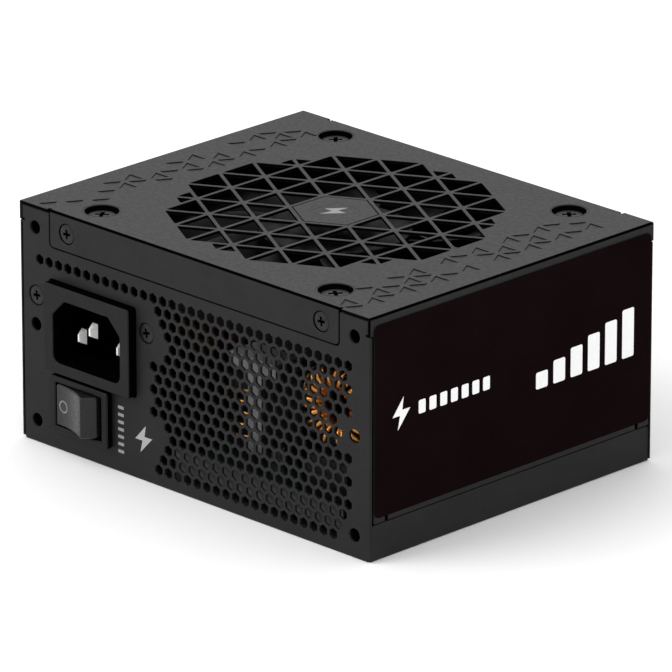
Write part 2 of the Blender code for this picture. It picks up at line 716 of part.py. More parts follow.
def make_boards():
    board_front = FRONT + 4.0
    board_back = MODULAR_BOARD_Y - GAP - 0.3

    def cut_switch_corner(bm):
        add_box(bm, (-70, FRONT, 0), (-8, FRONT + 20, 20))

    def cut_standoffs(bm):
        for x, y in STANDOFFS:
            add_rod(bm, x, y, 0, 4, 4.6, 12)

    board = solid("main_board", BOARD_GREEN, plain_box((-59, board_front, BOARD_BOTTOM), (59, board_back, BOARD_TOP)))
    shape(board, cut_switch_corner)
    sheet = solid("insulator_sheet", CLEAR_FILM, plain_box((-59, FRONT + 3, 1.1), (59, REAR - 3, 1.4)))
    join(sheet, plain_box((-9, FRONT + 2.7, 1.2), (50, FRONT + 3.1, 11)))
    shape(sheet, plain_box((-7, FRONT + 2, 2.2), (48, FRONT + 4, 4.4)))
    shape(sheet, cut_standoffs)
    solid("modular_board", BOARD_GREEN, plain_box((-59, MODULAR_BOARD_Y, SEAT), (50, MODULAR_BOARD_Y + 1.6, 44.6)))
    solid("control_board", BOARD_GREEN, plain_box((12, FRONT + 62, SEAT), (40, FRONT + 63.2, 30)))


def make_heatsinks():
    stem = plain_box((9.4, FRONT + 10, SEAT), (14.2, FRONT + 48, 35))
    primary = solid("primary_heatsink", ALUMINIUM, stem)
    join(primary, plain_box((3, FRONT + 10, 33.8), (19.2, FRONT + 48, 37.5)))
    shape(primary, plain_box((9, FRONT + 9, SEAT - 1), (15, FRONT + 18, 12.6)))
    secondary = solid("secondary_heatsink", ALUMINIUM, plain_box((-6, FRONT + 74, SEAT), (34, FRONT + 77, 38)))

    def draw_fins(bm):
        for fin in range(5):
            x = -5 + fin * 8.5
            add_box(bm, (x, FRONT + 70, 28), (x + 1.5, FRONT + 75, 38))

    join(secondary, draw_fins)
    solid("bridge_rectifier", BLACK_PLASTIC, plain_box((14.5, FRONT + 20, 14), (18.3, FRONT + 38, 32)))


def make_magnetics():
    make_toroid("pfc_choke", FERRITE, (38.0, FRONT + 14.0, 31.0), "Y", 8.2, 4.0)
    solid("pfc_choke_base", BLACK_PLASTIC, plain_box((31, FRONT + 9, SEAT), (45, FRONT + 19, 18.4)))
    make_toroid("filter_choke", FERRITE, (-43.0, FRONT + 33.0, SEAT + 4.8), "Z", 7.6, 4.4)
    low, high = (-38, FRONT + 48, SEAT), (-4, FRONT + 68, 36)
    core = solid("transformer_core", FERRITE, plain_box(low, high))
    shape(core, plain_box((-32, FRONT + 40, 14), (-10, FRONT + 76, 30)))
    coil = rounded_box((-31.7, FRONT + 44, 14.3), (-10.3, FRONT + 72, 29.7), "Y", 2.5)
    solid("transformer_winding", TAPE_YELLOW, coil)
    solid("standby_transformer", TAPE_YELLOW, rounded_box((-58, FRONT + 50, SEAT), (-44, FRONT + 64, 22), "Z", 1.5))
    solid("x_capacitor", BLACK_PLASTIC, rounded_box((-28, FRONT + 34, SEAT), (-12, FRONT + 42, 24), "Z", 1.0))
    make_drum_choke((-3.5, FRONT + 24.5))


def make_electronics():
    make_boards()
    make_heatsinks()
    make_magnetics()
    make_capacitor("bulk_capacitor", 41.0, FRONT + 38.0, 13.0, 34.0)
    for number, x in enumerate((40.5, 51.0), 1):
        make_capacitor(f"output_capacitor_{number}", x, FRONT + 73.0, 4.6, 20.0)


def make_sockets():
    for name, columns, x, z in SOCKETS:
        half = columns * WAY_PITCH / 2 + 0.6
        depth = REAR + SOCKET_PROUD - (MODULAR_BOARD_Y + 1.6 + GAP)
        socket = solid(name, BLACK_PLASTIC, lambda bm: add_block(
            bm, x, REAR + SOCKET_PROUD - depth, z, half, WAY_PITCH + 0.6, depth))

        def cut_ways(bm):
            for column in range(columns):
                for row in (-0.5, 0.5):
                    way_x = x + (column - (columns - 1) / 2) * WAY_PITCH
                    add_block(bm, way_x, REAR + SOCKET_PROUD - 8, z + row * WAY_PITCH, 1.7, 1.7, 9)

        shape(socket, cut_ways)


clear_scene()
PARTS = new_collection("power_supply_unit")
CUTTERS = new_collection("cutters")
GREY_STEEL = finish("powder_coated_grey_steel", (0.035, 0.036, 0.037), 0.55, 0.2)
BLACK_STEEL = finish("powder_coated_black_steel", (0.06, 0.06, 0.062), 0.5, 0.2)
LABEL_FILM = finish("black_label_film", (0.008, 0.006, 0.006), 0.35)
BADGE_METAL = finish("brushed_badge", (0.45, 0.45, 0.46), 0.35, 0.9)
SCREW_STEEL = finish("black_zinc_screw", (0.05, 0.05, 0.05), 0.4, 0.8)
BLACK_PLASTIC = finish("moulded_black_nylon", (0.02, 0.02, 0.021), 0.5)
FAN_PLASTIC = finish("moulded_fan_plastic", (0.012, 0.012, 0.013), 0.4)
PLATED_BRASS = finish("nickel_plated_brass", (0.75, 0.74, 0.72), 0.25, 1.0)
BRIGHT_STEEL = finish("ground_steel", (0.6, 0.6, 0.6), 0.2, 1.0)
BEARING_BRONZE = finish("sintered_bronze", (0.35, 0.22, 0.1), 0.5, 1.0)
COPPER = finish("enamelled_copper", (0.6, 0.22, 0.07), 0.3, 1.0)
FERRITE = finish("ferrite", (0.04, 0.04, 0.045), 0.6)
ALUMINIUM = finish("extruded_aluminium", (0.5, 0.5, 0.51), 0.4, 1.0)
BOARD_GREEN = finish("circuit_board", (0.03, 0.1, 0.04), 0.5)
CAPACITOR_FILM = finish("capacitor_sleeve", (0.02, 0.02, 0.03), 0.35)
TAPE_YELLOW = finish("transformer_tape", (0.6, 0.35, 0.04), 0.4)
CLEAR_FILM = finish("insulating_film", (0.2, 0.2, 0.19), 0.3)
make_mains_panel()
make_tray()
make_cover()
make_labels()
make_screws()
make_inlet()
make_switch()
make_fan()
make_electronics()
make_sockets()
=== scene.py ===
"""Looks of the power supply unit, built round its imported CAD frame.

Pieces are drawn in millimetres, and MM turns them into metres as they are made. A sheet-metal
piece is drawn as a flat blank in the XY plane with its outer face up, and is then folded.
"""

import json
import math
import random

import bmesh
import bpy
from mathutils import Matrix, Vector
from mathutils.geometry import delaunay_2d_cdt


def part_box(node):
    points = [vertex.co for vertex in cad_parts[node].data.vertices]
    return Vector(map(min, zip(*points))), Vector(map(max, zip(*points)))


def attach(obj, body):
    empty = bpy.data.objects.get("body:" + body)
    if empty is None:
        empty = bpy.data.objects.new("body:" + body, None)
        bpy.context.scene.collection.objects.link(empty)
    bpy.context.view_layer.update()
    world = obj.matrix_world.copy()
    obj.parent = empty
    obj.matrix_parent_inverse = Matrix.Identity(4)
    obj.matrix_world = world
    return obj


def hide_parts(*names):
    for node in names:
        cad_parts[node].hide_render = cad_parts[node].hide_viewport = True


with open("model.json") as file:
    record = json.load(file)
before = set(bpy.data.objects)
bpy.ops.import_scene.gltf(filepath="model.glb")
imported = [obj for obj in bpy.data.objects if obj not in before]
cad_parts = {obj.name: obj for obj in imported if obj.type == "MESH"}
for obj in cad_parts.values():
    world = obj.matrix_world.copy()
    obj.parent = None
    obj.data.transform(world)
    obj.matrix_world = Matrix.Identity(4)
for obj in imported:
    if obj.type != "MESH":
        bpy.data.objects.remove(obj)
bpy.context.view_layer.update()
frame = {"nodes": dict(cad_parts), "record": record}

MM = 0.001


def cad(node):
    """Gives the lowest corner, the highest corner and the middle of a CAD node in millimetres."""
    low, high = (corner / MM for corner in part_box(node))
    return low, high, (low + high) / 2


COVER_LOW, COVER_HIGH, _ = cad("top_cover")
FRONT, REAR = COVER_LOW.y, COVER_HIGH.y
FAN_Y = (FRONT + REAR) / 2
HALF_DEPTH = (REAR - FRONT) / 2
HEIGHT = COVER_HIGH.z
COVER_HALF = COVER_HIGH.x
COVER_BOTTOM = COVER_LOW.z
LABEL_FACE = cad("side_label_right")[1].x

# Sheet metal
SHEET = 0.8
GAP = 0.3
BEND = 0.55
BEND_STEPS = 5
BEND_LENGTH = (BEND - SHEET / 2) * math.pi / 2
EDGE = 0.12
FLANGE_HEIGHT = 9.5
TRAY_HALF = COVER_HALF - 0.4
PLATE_TOP = HEIGHT - SHEET - GAP
TAB_HALF = 51.0
TAB_BOTTOM = 53.8
SHOULDER = 58.3
LIP = 0.05
NOTCH_FROM_END = 5.5
NOTCH_WIDTH = 1.0
NOTCH_DEPTH = 1.3

# Fastener and mounting holes
COVER_SCREW_X = 45.0
COVER_SCREW_Z = 58.4
MOUNT_X = 56.5
MOUNT_ROWS = (6.0, 31.75, 57.5)
MOUNT_RADIUS = 1.8
MOUNT_RIM = 0.25
SCREW_SEAT = 2.75
FLAT_RECESS = 3.3
PAN_RECESS = 4.8
RECESS_WIDTH = 0.28
FAN_HOLE = 41.25
DIMPLE_RADIUS = 4.58
DIMPLE_DEPTH = 2.2

# Fan
HUB_RADIUS = 19.5
BLADE_TIP = 43.2
BLADES = 9
BLADE_SWEEP = math.radians(26)
BLADE_CHORD = math.radians(34)
BLADE_TAPER = math.radians(4)

# Vents and grille
VENT_RADIUS = 1.45
VENT_STEP = 1.706
VENT_LEFT = -54.92
VENT_TOP = 49.33
VENT_ROW_STEP = 3.0
VENT_ROWS = ((0, 64), (25, 63), (26, 64), (27, 63), (28, 64), (27, 61), (24, 62), (25, 61),
             (24, 64), (25, 63), (24, 64), (27, 63), (28, 64), (27, 63), (26, 62), (25, 61))
CELL_SIDE = 12.0
BAR = 1.0
BAR_RIM = 0.05
GRILLE_REACH = 43.4
GRILLE_HUB = 8.0

# Mains inlet and switch
INLET_X = -35.8
INLET_Z = 33.3
INLET_PROUD = 2.4
INLET_OPENING = (15.7, 12.0)
PINS = ("inlet_pin_line", "inlet_pin_neutral", "inlet_pin_earth")
PIN_TIP = 2.0
PIN_SETBACK = 0.9
EAR_X = INLET_X - 0.55
EAR_Z = 39.5
EAR_SPACING = 39.7
SWITCH_X = -39.35
SWITCH_Z = 13.15
SWITCH_OPENING = (10.1, 7.0)
BEZEL_PROUD = 2.0
PIVOT_DEPTH = 4.0
ROCKER_TILT = math.radians(14.5)
TIP_SIDE = 6.0
TIP_OUT = 7.75
ROCKER_DISH = 0.9
ROCKER_HALF_HEIGHT = 5.45

# Modular sockets
WAY_PITCH = 4.2
SOCKETS = {"socket_board_18_way": 9, "socket_board_10_way": 5, "socket_drives": 3,
           "socket_power_a": 4, "socket_power_b": 4, "socket_power_c": 4, "socket_power_d": 4}

ENDS = (("front", FRONT, 1), ("rear", REAR, -1))
SIDES = (("left", -1), ("right", 1))

# Turns a flat drawing so that its outer face looks along one direction
QUARTER = math.pi / 2
FACING = {name: Matrix.Rotation(turn * QUARTER, 4, "Z") @ Matrix.Rotation(QUARTER, 4, "X")
          for name, turn in (("front", 0), ("rear", 2), ("right", 1), ("left", -1))}
FACING["up"] = Matrix.Identity(4)


# Outlines

def rounded(corners, steps=4):
    """Gives a closed outline. A corner written as (x, y, radius) is rounded."""
    points = []
    for number, corner in enumerate(corners):
        at = Vector(corner[:2])
        if len(corner) == 2:
            points.append(at)
            continue
        back = (Vector(corners[number - 1][:2]) - at).normalized()
        ahead = (Vector(corners[(number + 1) % len(corners)][:2]) - at).normalized()
        half = back.angle(ahead) / 2
        centre = at + (back + ahead).normalized() * corner[2] / math.sin(half)
        start = at + back * corner[2] / math.tan(half) - centre
        end = at + ahead * corner[2] / math.tan(half) - centre
        first = math.atan2(start.y, start.x)
        sweep = (math.atan2(end.y, end.x) - first + math.pi) % (2 * math.pi) - math.pi
        for step in range(steps + 1):
            angle = first + sweep * step / steps
            points.append(centre + corner[2] * Vector((math.cos(angle), math.sin(angle))))
    return points


def rectangle(x, y, half_x, half_y, radius=0.0, steps=4):
    corners = [(x - half_x, y - half_y), (x + half_x, y - half_y), (x + half_x, y + half_y), (x - half_x, y + half_y)]
    return rounded([(*corner, radius) for corner in corners] if radius else corners, steps)


def polygon(x, y, radius, sides=24, turn=0.0):
    angles = (turn + 2 * math.pi * side / sides for side in range(sides))
    return [Vector((x + radius * math.cos(angle), y + radius * math.sin(angle))) for angle in angles]


def four_quarters(half):
    """Completes an outline whose corners are given for X above 0 only."""
    return rounded(half + [(-x, y, *radius) for x, y, *radius in reversed(half)])


def area(points):
    return sum(a.x * b.y - b.x * a.y for a, b in zip(points, points[1:] + points[:1])) / 2


def offset(points, distance):
    """Moves an outline outward by a distance, with mitred corners."""
    turn = math.copysign(1, area(points))
    moved = []
    for before, at, after in zip(points[-1:] + points[:-1], points, points[1:] + points[:1]):
        first, second = (at - before).normalized(), (after - at).normalized()
        outward = Vector((first.y + second.y, -first.x - second.x)).normalized() * turn
        spread = outward.dot(Vector((first.y, -first.x)) * turn)
        moved.append(at + outward * distance / max(spread, 0.3))
    return moved


# Meshes

def add_sheet(bm, outline, holes=(), pockets=(), thickness=SHEET, edge=EDGE, walls=0):
    """Adds a flat sheet with its outer face at 0 and softened edges.

    A pocket is an outline and its depth. A hole may be an outline and the width of its own softened edge.
    `walls` is the number of the material on the sheet's cut sides; the pieces here put painted shade there.
    """
    holes = [hole if isinstance(hole, tuple) else (hole, edge) for hole in holes]
    shapes = [outline, *(points for points, _ in holes), *(points for points, _ in pockets)]
    widths = [-edge, *(width for _, width in holes), *(edge / 2 for _ in pockets)]
    shapes = [points if area(points) > 0 else points[::-1] for points in shapes]
    points, loops, rims = [], [], []
    for number, shape in enumerate(shapes):
        loops.append(list(range(len(points), len(points) + len(shape))))
        points += shape
        if edge:
            rim = offset(shape, widths[number])
            rims += [(len(points) + (k or len(rim)) - 1, len(points) + k) for k in range(len(rim))]
            points += rim
    flat, _, triangles, _, _, sources = delaunay_2d_cdt(points, rims, loops, 0, 1e-4, True)
    first_pocket = 1 + len(holes)
    levels = []
    for inside in sources:
        if 0 not in inside or any(0 < source < first_pocket for source in inside):
            levels.append(None)
        else:
            levels.append(max((pockets[source - first_pocket][1] for source in inside if source >= first_pocket),
                              default=0.0))
    across = {}
    for triangle, level in zip(triangles, levels):
        if level is not None:
            for k in range(3):
                across[triangle[k - 1], triangle[k]] = level
    through = {end for a, b in across if (b, a) not in across for end in (a, b)}
    stepped = {end for (a, b), level in across.items() if across.get((b, a)) != level for end in (a, b)}
    made = {}

    def corner(index, level):
        if (index, level) not in made:
            if level == "under":
                height = edge - thickness if index in through else -thickness
            elif level:
                height = -level
            else:
                height = -edge if index in stepped else 0.0
            made[index, level] = bm.verts.new((*flat[index], height))
        return made[index, level]

    for triangle, level in zip(triangles, levels):
        if level is not None:
            bm.faces.new([corner(index, level) for index in triangle])
            bm.faces.new([corner(index, "under") for index in reversed(triangle)])
    for (a, b), level in across.items():
        below = across.get((b, a), "under")
        if below == "under" or below > level:
            wall = bm.faces.new((corner(a, below), corner(b, below), corner(b, level), corner(a, level)))
            wall.material_index = walls
    return list(made.values())


def split(bm, at, normal):
    """Cuts every face that crosses a plane in two, and keeps both."""
    bmesh.ops.bisect_plane(bm, geom=bm.verts[:] + bm.edges[:] + bm.faces[:], dist=1e-5, plane_co=at, plane_no=normal)


def fold(bm, bends, dark=lambda axis, way: False):
    """Folds a flat blank. A bend is its axis, the line it starts at, the way it goes and which points it takes.

    The bends that `dark` picks take the piece's second material, which is painted shade.
    """
    marked = []
    for axis, start, way, _ in bends:
        normal = Vector((axis == 0, axis == 1, 0))
        for step in range(BEND_STEPS + 1):
            split(bm, normal * (start + way * BEND_LENGTH * step / BEND_STEPS), normal)
    for axis, start, way, wanted in bends:
        marked.append([vert for vert in bm.verts if way * (vert.co[axis] - start) > 0 and wanted(vert.co)])
        for face in bm.faces if dark(axis, way) else ():
            middle = face.calc_center_median()
            if 0 < way * (middle[axis] - start) < BEND_LENGTH and wanted(middle):
                face.material_index = 1
    for (axis, start, way, _), verts in zip(bends, marked):
        for vert in verts:
            beyond = way * (vert.co[axis] - start)
            turned = min(beyond, BEND_LENGTH) / BEND_LENGTH * QUARTER
            run = max(beyond - BEND_LENGTH, 0)
            radius = BEND + vert.co.z
            vert.co[axis] = start + way * (radius * math.sin(turned) + run * math.cos(turned))
            vert.co.z = radius * math.cos(turned) - BEND - run * math.sin(turned)


def place(bm, verts, facing="up", at=(0, 0, 0)):
    bmesh.ops.transform(bm, matrix=Matrix.Translation(at) @ FACING[facing], verts=verts)


def add_turned(bm, profile, at=(0, 0, 0), facing="up", sides=32):
    """Adds a turned shape from a profile of (radius, height) points. A radius of 0 closes an end."""
    rings, verts = [], []
    for radius, height in profile:
        count = sides if radius else 1
        ring = [bm.verts.new((*point, height)) for point in polygon(0, 0, radius, count)]
        rings.append(ring)
        verts += ring
    for upper, lower in zip(rings, rings[1:]):
        for side in range(sides):
            face = [upper[side % len(upper)], upper[(side + 1) % len(upper)],
                    lower[(side + 1) % len(lower)], lower[side % len(lower)]]
            bm.faces.new(list(dict.fromkeys(face)))
    place(bm, verts, facing, at)
    return verts


def add_tube(bm, points, radius, sides=8):
    """Adds a closed ring of round wire that follows a loop of points."""
    rings = []
    count = len(points)
    middle = sum(points, Vector()) / count
    for number, point in enumerate(points):
        along = (points[(number + 1) % count] - points[number - 1]).normalized()
        out = (point - middle).normalized()
        side = along.cross(out).normalized()
        out = side.cross(along)
        rings.append([bm.verts.new(point + radius * (out * math.cos(turn) + side * math.sin(turn)))
                      for turn in (2 * math.pi * k / sides for k in range(sides))])
    for number, ring in enumerate(rings):
        after = rings[(number + 1) % count]
        for k in range(sides):
            bm.faces.new((ring[k - 1], ring[k], after[k], after[k - 1]))


def add_object(name, data):
    item = bpy.data.objects.new(name, data)
    bpy.context.scene.collection.objects.link(item)
    return item


def mesh_object(name, bm, *materials):
    mesh = bpy.data.meshes.new(name)
    bm.to_mesh(mesh)
    bm.free()
    for material in materials:
        mesh.materials.append(material)
    return add_object(name, mesh)


def piece(name, bm, material, body="case", replaces=(), smooth=30, weighted=True):
    """Makes a piece from a bmesh drawn in millimetres, and rides it on a body."""
    bmesh.ops.recalc_face_normals(bm, faces=bm.faces)
    bmesh.ops.scale(bm, verts=bm.verts, vec=(MM, MM, MM))
    item = mesh_object(name, bm, *(material if isinstance(material, tuple) else [material]))
    item.data.shade_smooth()
    item.data.set_sharp_from_angle(angle=math.radians(smooth))
    if weighted:
        modifier = item.modifiers.new("Even shading", "WEIGHTED_NORMAL")
        modifier.keep_sharp = True
    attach(item, body)
    if replaces:
        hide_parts(*replaces)
    return item


# Materials

class Recipe:
    """A node material that takes its detail from the object's own coordinates, in metres."""

    def __init__(self, name, colour, roughness, metallic=0.0, specular=0.5):
        self.material = bpy.data.materials.new(name)
        self.material.use_nodes = True
        self.tree = self.material.node_tree
        self.shader = self.tree.nodes["Principled BSDF"]
        for socket, value in (("Base Color", (*colour, 1.0)), ("Roughness", roughness), ("Metallic", metallic),
                              ("Specular IOR Level", specular)):
            self.shader.inputs[socket].default_value = value
        self.colour = colour
        self.material.diffuse_color = (*colour, 1.0)
        self.bump = None
        self.coordinates = self.tree.nodes.new("ShaderNodeTexCoord").outputs["Object"]

    def link(self, output, target):
        self.tree.links.new(output, target)

    def noise(self, scale, detail=2.0, stretch=None):
        """Adds noise. `scale` is in cells a metre, and `stretch` draws it out along the axes."""
        node = self.tree.nodes.new("ShaderNodeTexNoise")
        node.inputs["Scale"].default_value = scale
        node.inputs["Detail"].default_value = detail
        source = self.coordinates
        if stretch:
            mapping = self.tree.nodes.new("ShaderNodeMapping")
            mapping.inputs["Scale"].default_value = stretch
            self.link(source, mapping.inputs["Vector"])
            source = mapping.outputs["Vector"]
        self.link(source, node.inputs["Vector"])
        return node.outputs["Fac"]

    def cells(self, scale):
        node = self.tree.nodes.new("ShaderNodeTexVoronoi")
        node.inputs["Scale"].default_value = scale
        self.link(self.coordinates, node.inputs["Vector"])
        return node.outputs["Distance"]

    def ramp(self, source, low, high, first, second):
        """Turns a value between `low` and `high` into one between two others, or between two colours."""
        if isinstance(first, tuple):
            node = self.tree.nodes.new("ShaderNodeValToRGB")
            node.color_ramp.elements[0].position = low
            node.color_ramp.elements[1].position = high
            node.color_ramp.elements[0].color = (*first, 1.0)
            node.color_ramp.elements[1].color = (*second, 1.0)
            self.link(source, node.inputs["Fac"])
            return node.outputs["Color"]
        node = self.tree.nodes.new("ShaderNodeMapRange")
        for socket, value in zip(("From Min", "From Max", "To Min", "To Max"), (low, high, first, second)):
            node.inputs[socket].default_value = value
        self.link(source, node.inputs["Value"])
        return node.outputs["Result"]

    def vary_colour(self, source, low, high, amount):
        """Darkens and lightens the base colour by a share of itself."""
        dark = tuple(channel * (1 - amount) for channel in self.colour)
        light = tuple(channel * (1 + amount) for channel in self.colour)
        self.link(self.ramp(source, low, high, dark, light), self.shader.inputs["Base Color"])

    def vary_roughness(self, source, smooth, rough):
        self.link(self.ramp(source, 0.3, 0.7, smooth, rough), self.shader.inputs["Roughness"])

    def raise_by(self, source, depth):
        """Adds a bump of a depth in millimetres on top of the earlier ones."""
        node = self.tree.nodes.new("ShaderNodeBump")
        node.inputs["Distance"].default_value = depth * MM
        self.link(source, node.inputs["Height"])
        if self.bump:
            self.link(self.bump, node.inputs["Normal"])
        self.bump = node.outputs["Normal"]
        self.link(self.bump, self.shader.inputs["Normal"])
        return self


def textured(name, colour, roughness, blotches, share, gloss, spread, bump, depth, specular=0.5, metallic=0.0,
             span=(0.3, 0.7)):
    """Starts a finish from three noises: one in its colour, one in its gloss and one raised by a depth."""
    recipe = Recipe(name, colour, roughness, metallic, specular)
    recipe.vary_colour(recipe.noise(*blotches), *span, share)
    recipe.vary_roughness(recipe.noise(*gloss), *spread)
    return recipe.raise_by(recipe.noise(*bump), depth)


def coated_steel(name, colour, roughness, specular):
    """Powder coat: a fine orange peel, slightly uneven gloss and a trace of dust in the colour."""
    recipe = textured(name, colour, roughness, (140, 4), 0.1, (900, 3), (roughness - 0.05, roughness + 0.05), (2600, 3),
                      0.012, specular, span=(0.35, 0.65))
    return recipe.raise_by(recipe.noise(600, 2), 0.006).material


def moulded_plastic(name, colour, roughness, specular=0.2, depth=0.012):
    return textured(name, colour, roughness, (260, 3), 0.12, (1300, 3), (roughness - 0.07, roughness + 0.07),
                    (4200, 2), depth, specular).material


def metal(name, colour, roughness, stretch=None, grain=3000, depth=0.01, dull=0.15, metallic=1.0):
    """Metal. `stretch` draws the grain out into brushed or rolled lines."""
    return textured(name, colour, roughness, (420, 4), dull, (grain, 3, stretch), (roughness - 0.08, roughness + 0.1),
                    (grain, 2, stretch), depth, metallic=metallic).material


def printed_ink(name, colour):
    return textured(name, colour, 0.5, (3800, 3), 0.04, (2400, 2), (0.42, 0.58), (5200, 2), 0.006).material


def circuit_board():
    """Solder mask over tracks: the tracks are cells drawn out into lines, raised a little."""
    recipe = Recipe("circuit_board", (0.012, 0.06, 0.024), 0.4, specular=0.2)
    tracks = recipe.cells(480)
    recipe.link(recipe.ramp(tracks, 0.32, 0.36, (0.005, 0.022, 0.01), (0.003, 0.012, 0.006)),
                recipe.shader.inputs["Base Color"])
    recipe.vary_roughness(recipe.noise(1500, 2), 0.32, 0.48)
    recipe.raise_by(tracks, 0.04)
    return recipe.material


def ferrite():
    recipe = Recipe("ferrite", (0.008, 0.008, 0.009), 0.55, specular=0.2)
    recipe.vary_colour(recipe.cells(1800), 0.1, 0.6, 0.25)
    recipe.vary_roughness(recipe.noise(1600, 3), 0.45, 0.65)
    recipe.raise_by(recipe.noise(2600, 4), 0.04)
    return recipe.material


def floor_finish():
    recipe = Recipe("pale_floor", (0.86, 0.86, 0.86), 0.75)
    recipe.vary_colour(recipe.noise(30, 2), 0.3, 0.7, 0.004)
    recipe.raise_by(recipe.noise(700, 2), 0.02)
    return recipe.material


# top_sheen_coat and case_coat are two copies of one powder coat. The copy with more sheen goes on faces that look up,
# so the top reads lighter than the sides: a painted sheen.
TOP_SHEEN_COAT = coated_steel("top_sheen_coat", (0.0085, 0.0085, 0.0087), 0.46, 0.22)
CASE_COAT = coated_steel("case_coat", (0.0118, 0.0118, 0.012), 0.5, 0.12)
# painted_shade: a near-black coat with no sheen, laid on cut sides, bends, recesses and strips behind gaps as painted
# shade.
PAINTED_SHADE = coated_steel("painted_shade", (0.001, 0.001, 0.001), 0.8, 0.0)
BLACK_NYLON = moulded_plastic("black_nylon", (0.0085, 0.0085, 0.0087), 0.42, 0.1)
ROCKER_NYLON = moulded_plastic("rocker_nylon", (0.010, 0.010, 0.0102), 0.3, 0.3, 0.004)
FAN_PLASTIC = moulded_plastic("fan_plastic", (0.0008, 0.0008, 0.00085), 0.38, 0.07)
SOCKET_NYLON = moulded_plastic("socket_nylon", (0.008, 0.008, 0.0085), 0.5, 0.2)
SCREW_BLACK = metal("screw_black", (0.03, 0.03, 0.0312), 0.42, dull=0.25)
PLATED_BRASS = metal("plated_brass", (0.72, 0.71, 0.69), 0.24, (8, 0.6, 8), 1500, 0.006, 0.06)
PIN_PLATING = metal("pin_plating", (0.78, 0.78, 0.76), 0.3, (8, 0.6, 8), 1500, 0.006, 0.06, metallic=0.2)
BRIGHT_STEEL = metal("bright_steel", (0.56, 0.56, 0.57), 0.22, (1, 1, 30), 400, 0.004)
BEARING_BRONZE = metal("bearing_bronze", (0.35, 0.22, 0.1), 0.5, None, 2600, 0.02, 0.25)
COPPER_WIRE = metal("copper_wire", (0.80, 0.36, 0.08), 0.28, None, 1200, 0.006, 0.2)
DARK_ENAMEL = metal("dark_enamel", (0.03, 0.012, 0.006), 0.35, None, 1200, 0.006, 0.2)
ALUMINIUM = metal("aluminium", (0.26, 0.26, 0.265), 0.42, (1, 0.05, 8), 700, 0.02, 0.08)
BADGE_METAL = metal("badge_metal", (0.06, 0.06, 0.062), 0.34, (1, 25, 1), 500, 0.004, 0.1)
LABEL_FILM = textured("label_film", (0.0063, 0.0031, 0.0035), 0.34, (60, 3), 0.12, (700, 3), (0.3, 0.4), (3400, 2),
                      0.008, specular=0.0, span=(0.35, 0.65)).material
WHITE_INK = printed_ink("white_ink", (0.86, 0.86, 0.86))
GREY_INK = printed_ink("grey_ink", (0.3, 0.3, 0.3))
BADGE_INK = printed_ink("badge_ink", (0.2, 0.2, 0.2))
BOARD = circuit_board()
TAPE = textured("transformer_tape", (0.22, 0.1, 0.012), 0.38, (300, 3, (1, 1, 6)), 0.15, (900, 2), (0.3, 0.45),
                (500, 2, (1, 1, 5)), 0.08, specular=0.3).material
SLEEVE = textured("capacitor_sleeve", (0.006, 0.006, 0.008), 0.34, (200, 3), 0.2, (800, 2), (0.24, 0.38),
                  (900, 2, (1, 1, 0.3)), 0.03, specular=0.15).material
FERRITE = ferrite()
FILM = textured("insulating_film", (0.03, 0.03, 0.029), 0.3, (120, 3), 0.15, (400, 2), (0.22, 0.4), (250, 3), 0.1,
                specular=0.3).material


# Case

def grille_holes():
    """Yields the centre, side and pointing direction of each open triangle, as the CAD cover has them."""
    width = CELL_SIDE * math.sqrt(3) / 2
    for column in range(-5, 6):
        for row in range(-6, 6):
            for pointing in (-1, 1):
                base = Vector((column * width, (row + column % 2 / 2) * CELL_SIDE))
                corners = [base, base + Vector((0, CELL_SIDE)), base + Vector((pointing * width, CELL_SIDE / 2))]
                centre = sum(corners, Vector((0, 0))) / 3
                reach = max(corner.length for corner in corners)
                nearest = min(corners, key=lambda corner: corner.length)
                if reach <= GRILLE_REACH and centre.length > GRILLE_HUB:
                    yield centre, CELL_SIDE, pointing
                elif abs(reach - 4 * CELL_SIDE) < 0.1 and abs(nearest.length - 3 * CELL_SIDE) < 0.1:
                    yield (nearest + centre) / 2, CELL_SIDE / 2, pointing


def grille_triangle(centre, side, pointing):
    """Gives an open triangle with slightly rounded corners."""
    reach = 2 * (side / (2 * math.sqrt(3)) - BAR / 2)
    turn = 0 if pointing > 0 else math.pi
    return rounded([(*point, 0.25) for point in polygon(*centre, reach, 3, turn)], 2)


PATTERN_SIDE = 4.7
PATTERN_ROW = 5.5
PATTERN_COLUMN = 3.75
PATTERN_DEPTH = 0.22


def pattern_pockets():
    """Yields shallow triangles stamped in two bands beside the grille, thinned at random."""
    draw = random.Random(14)
    height = PATTERN_SIDE * math.sqrt(3) / 2
    for first_x, columns in ((-56.6, 3), (44.0, 3)):
        for row in range(1, 17):
            top = FRONT + row * PATTERN_ROW - FAN_Y + 0.1
            for column in range(columns):
                left = first_x + column * PATTERN_COLUMN
                down = (row + column) % 2 == 0
                if draw.random() > 0.62:
                    continue
                tip, base = (top - height, top) if down else (top, top - height)
                middle = Vector((left + PATTERN_SIDE / 2, (tip + base) / 2))
                if min((middle - Vector(hole)).length for hole in DIMPLES) > 7.5:
                    yield [Vector((left, base)), Vector((left + PATTERN_SIDE, base)),
                           Vector((left + PATTERN_SIDE / 2, tip))]


HUB_POCKET = 11.35
HUB_PLATE = 11.0
BADGE_SEAT = rectangle(0, -0.25, 4.52, 4.77, 0.5)
DIMPLES = [(x * FAN_HOLE, y * FAN_HOLE) for x in (-1, 1) for y in (-1, 1)]


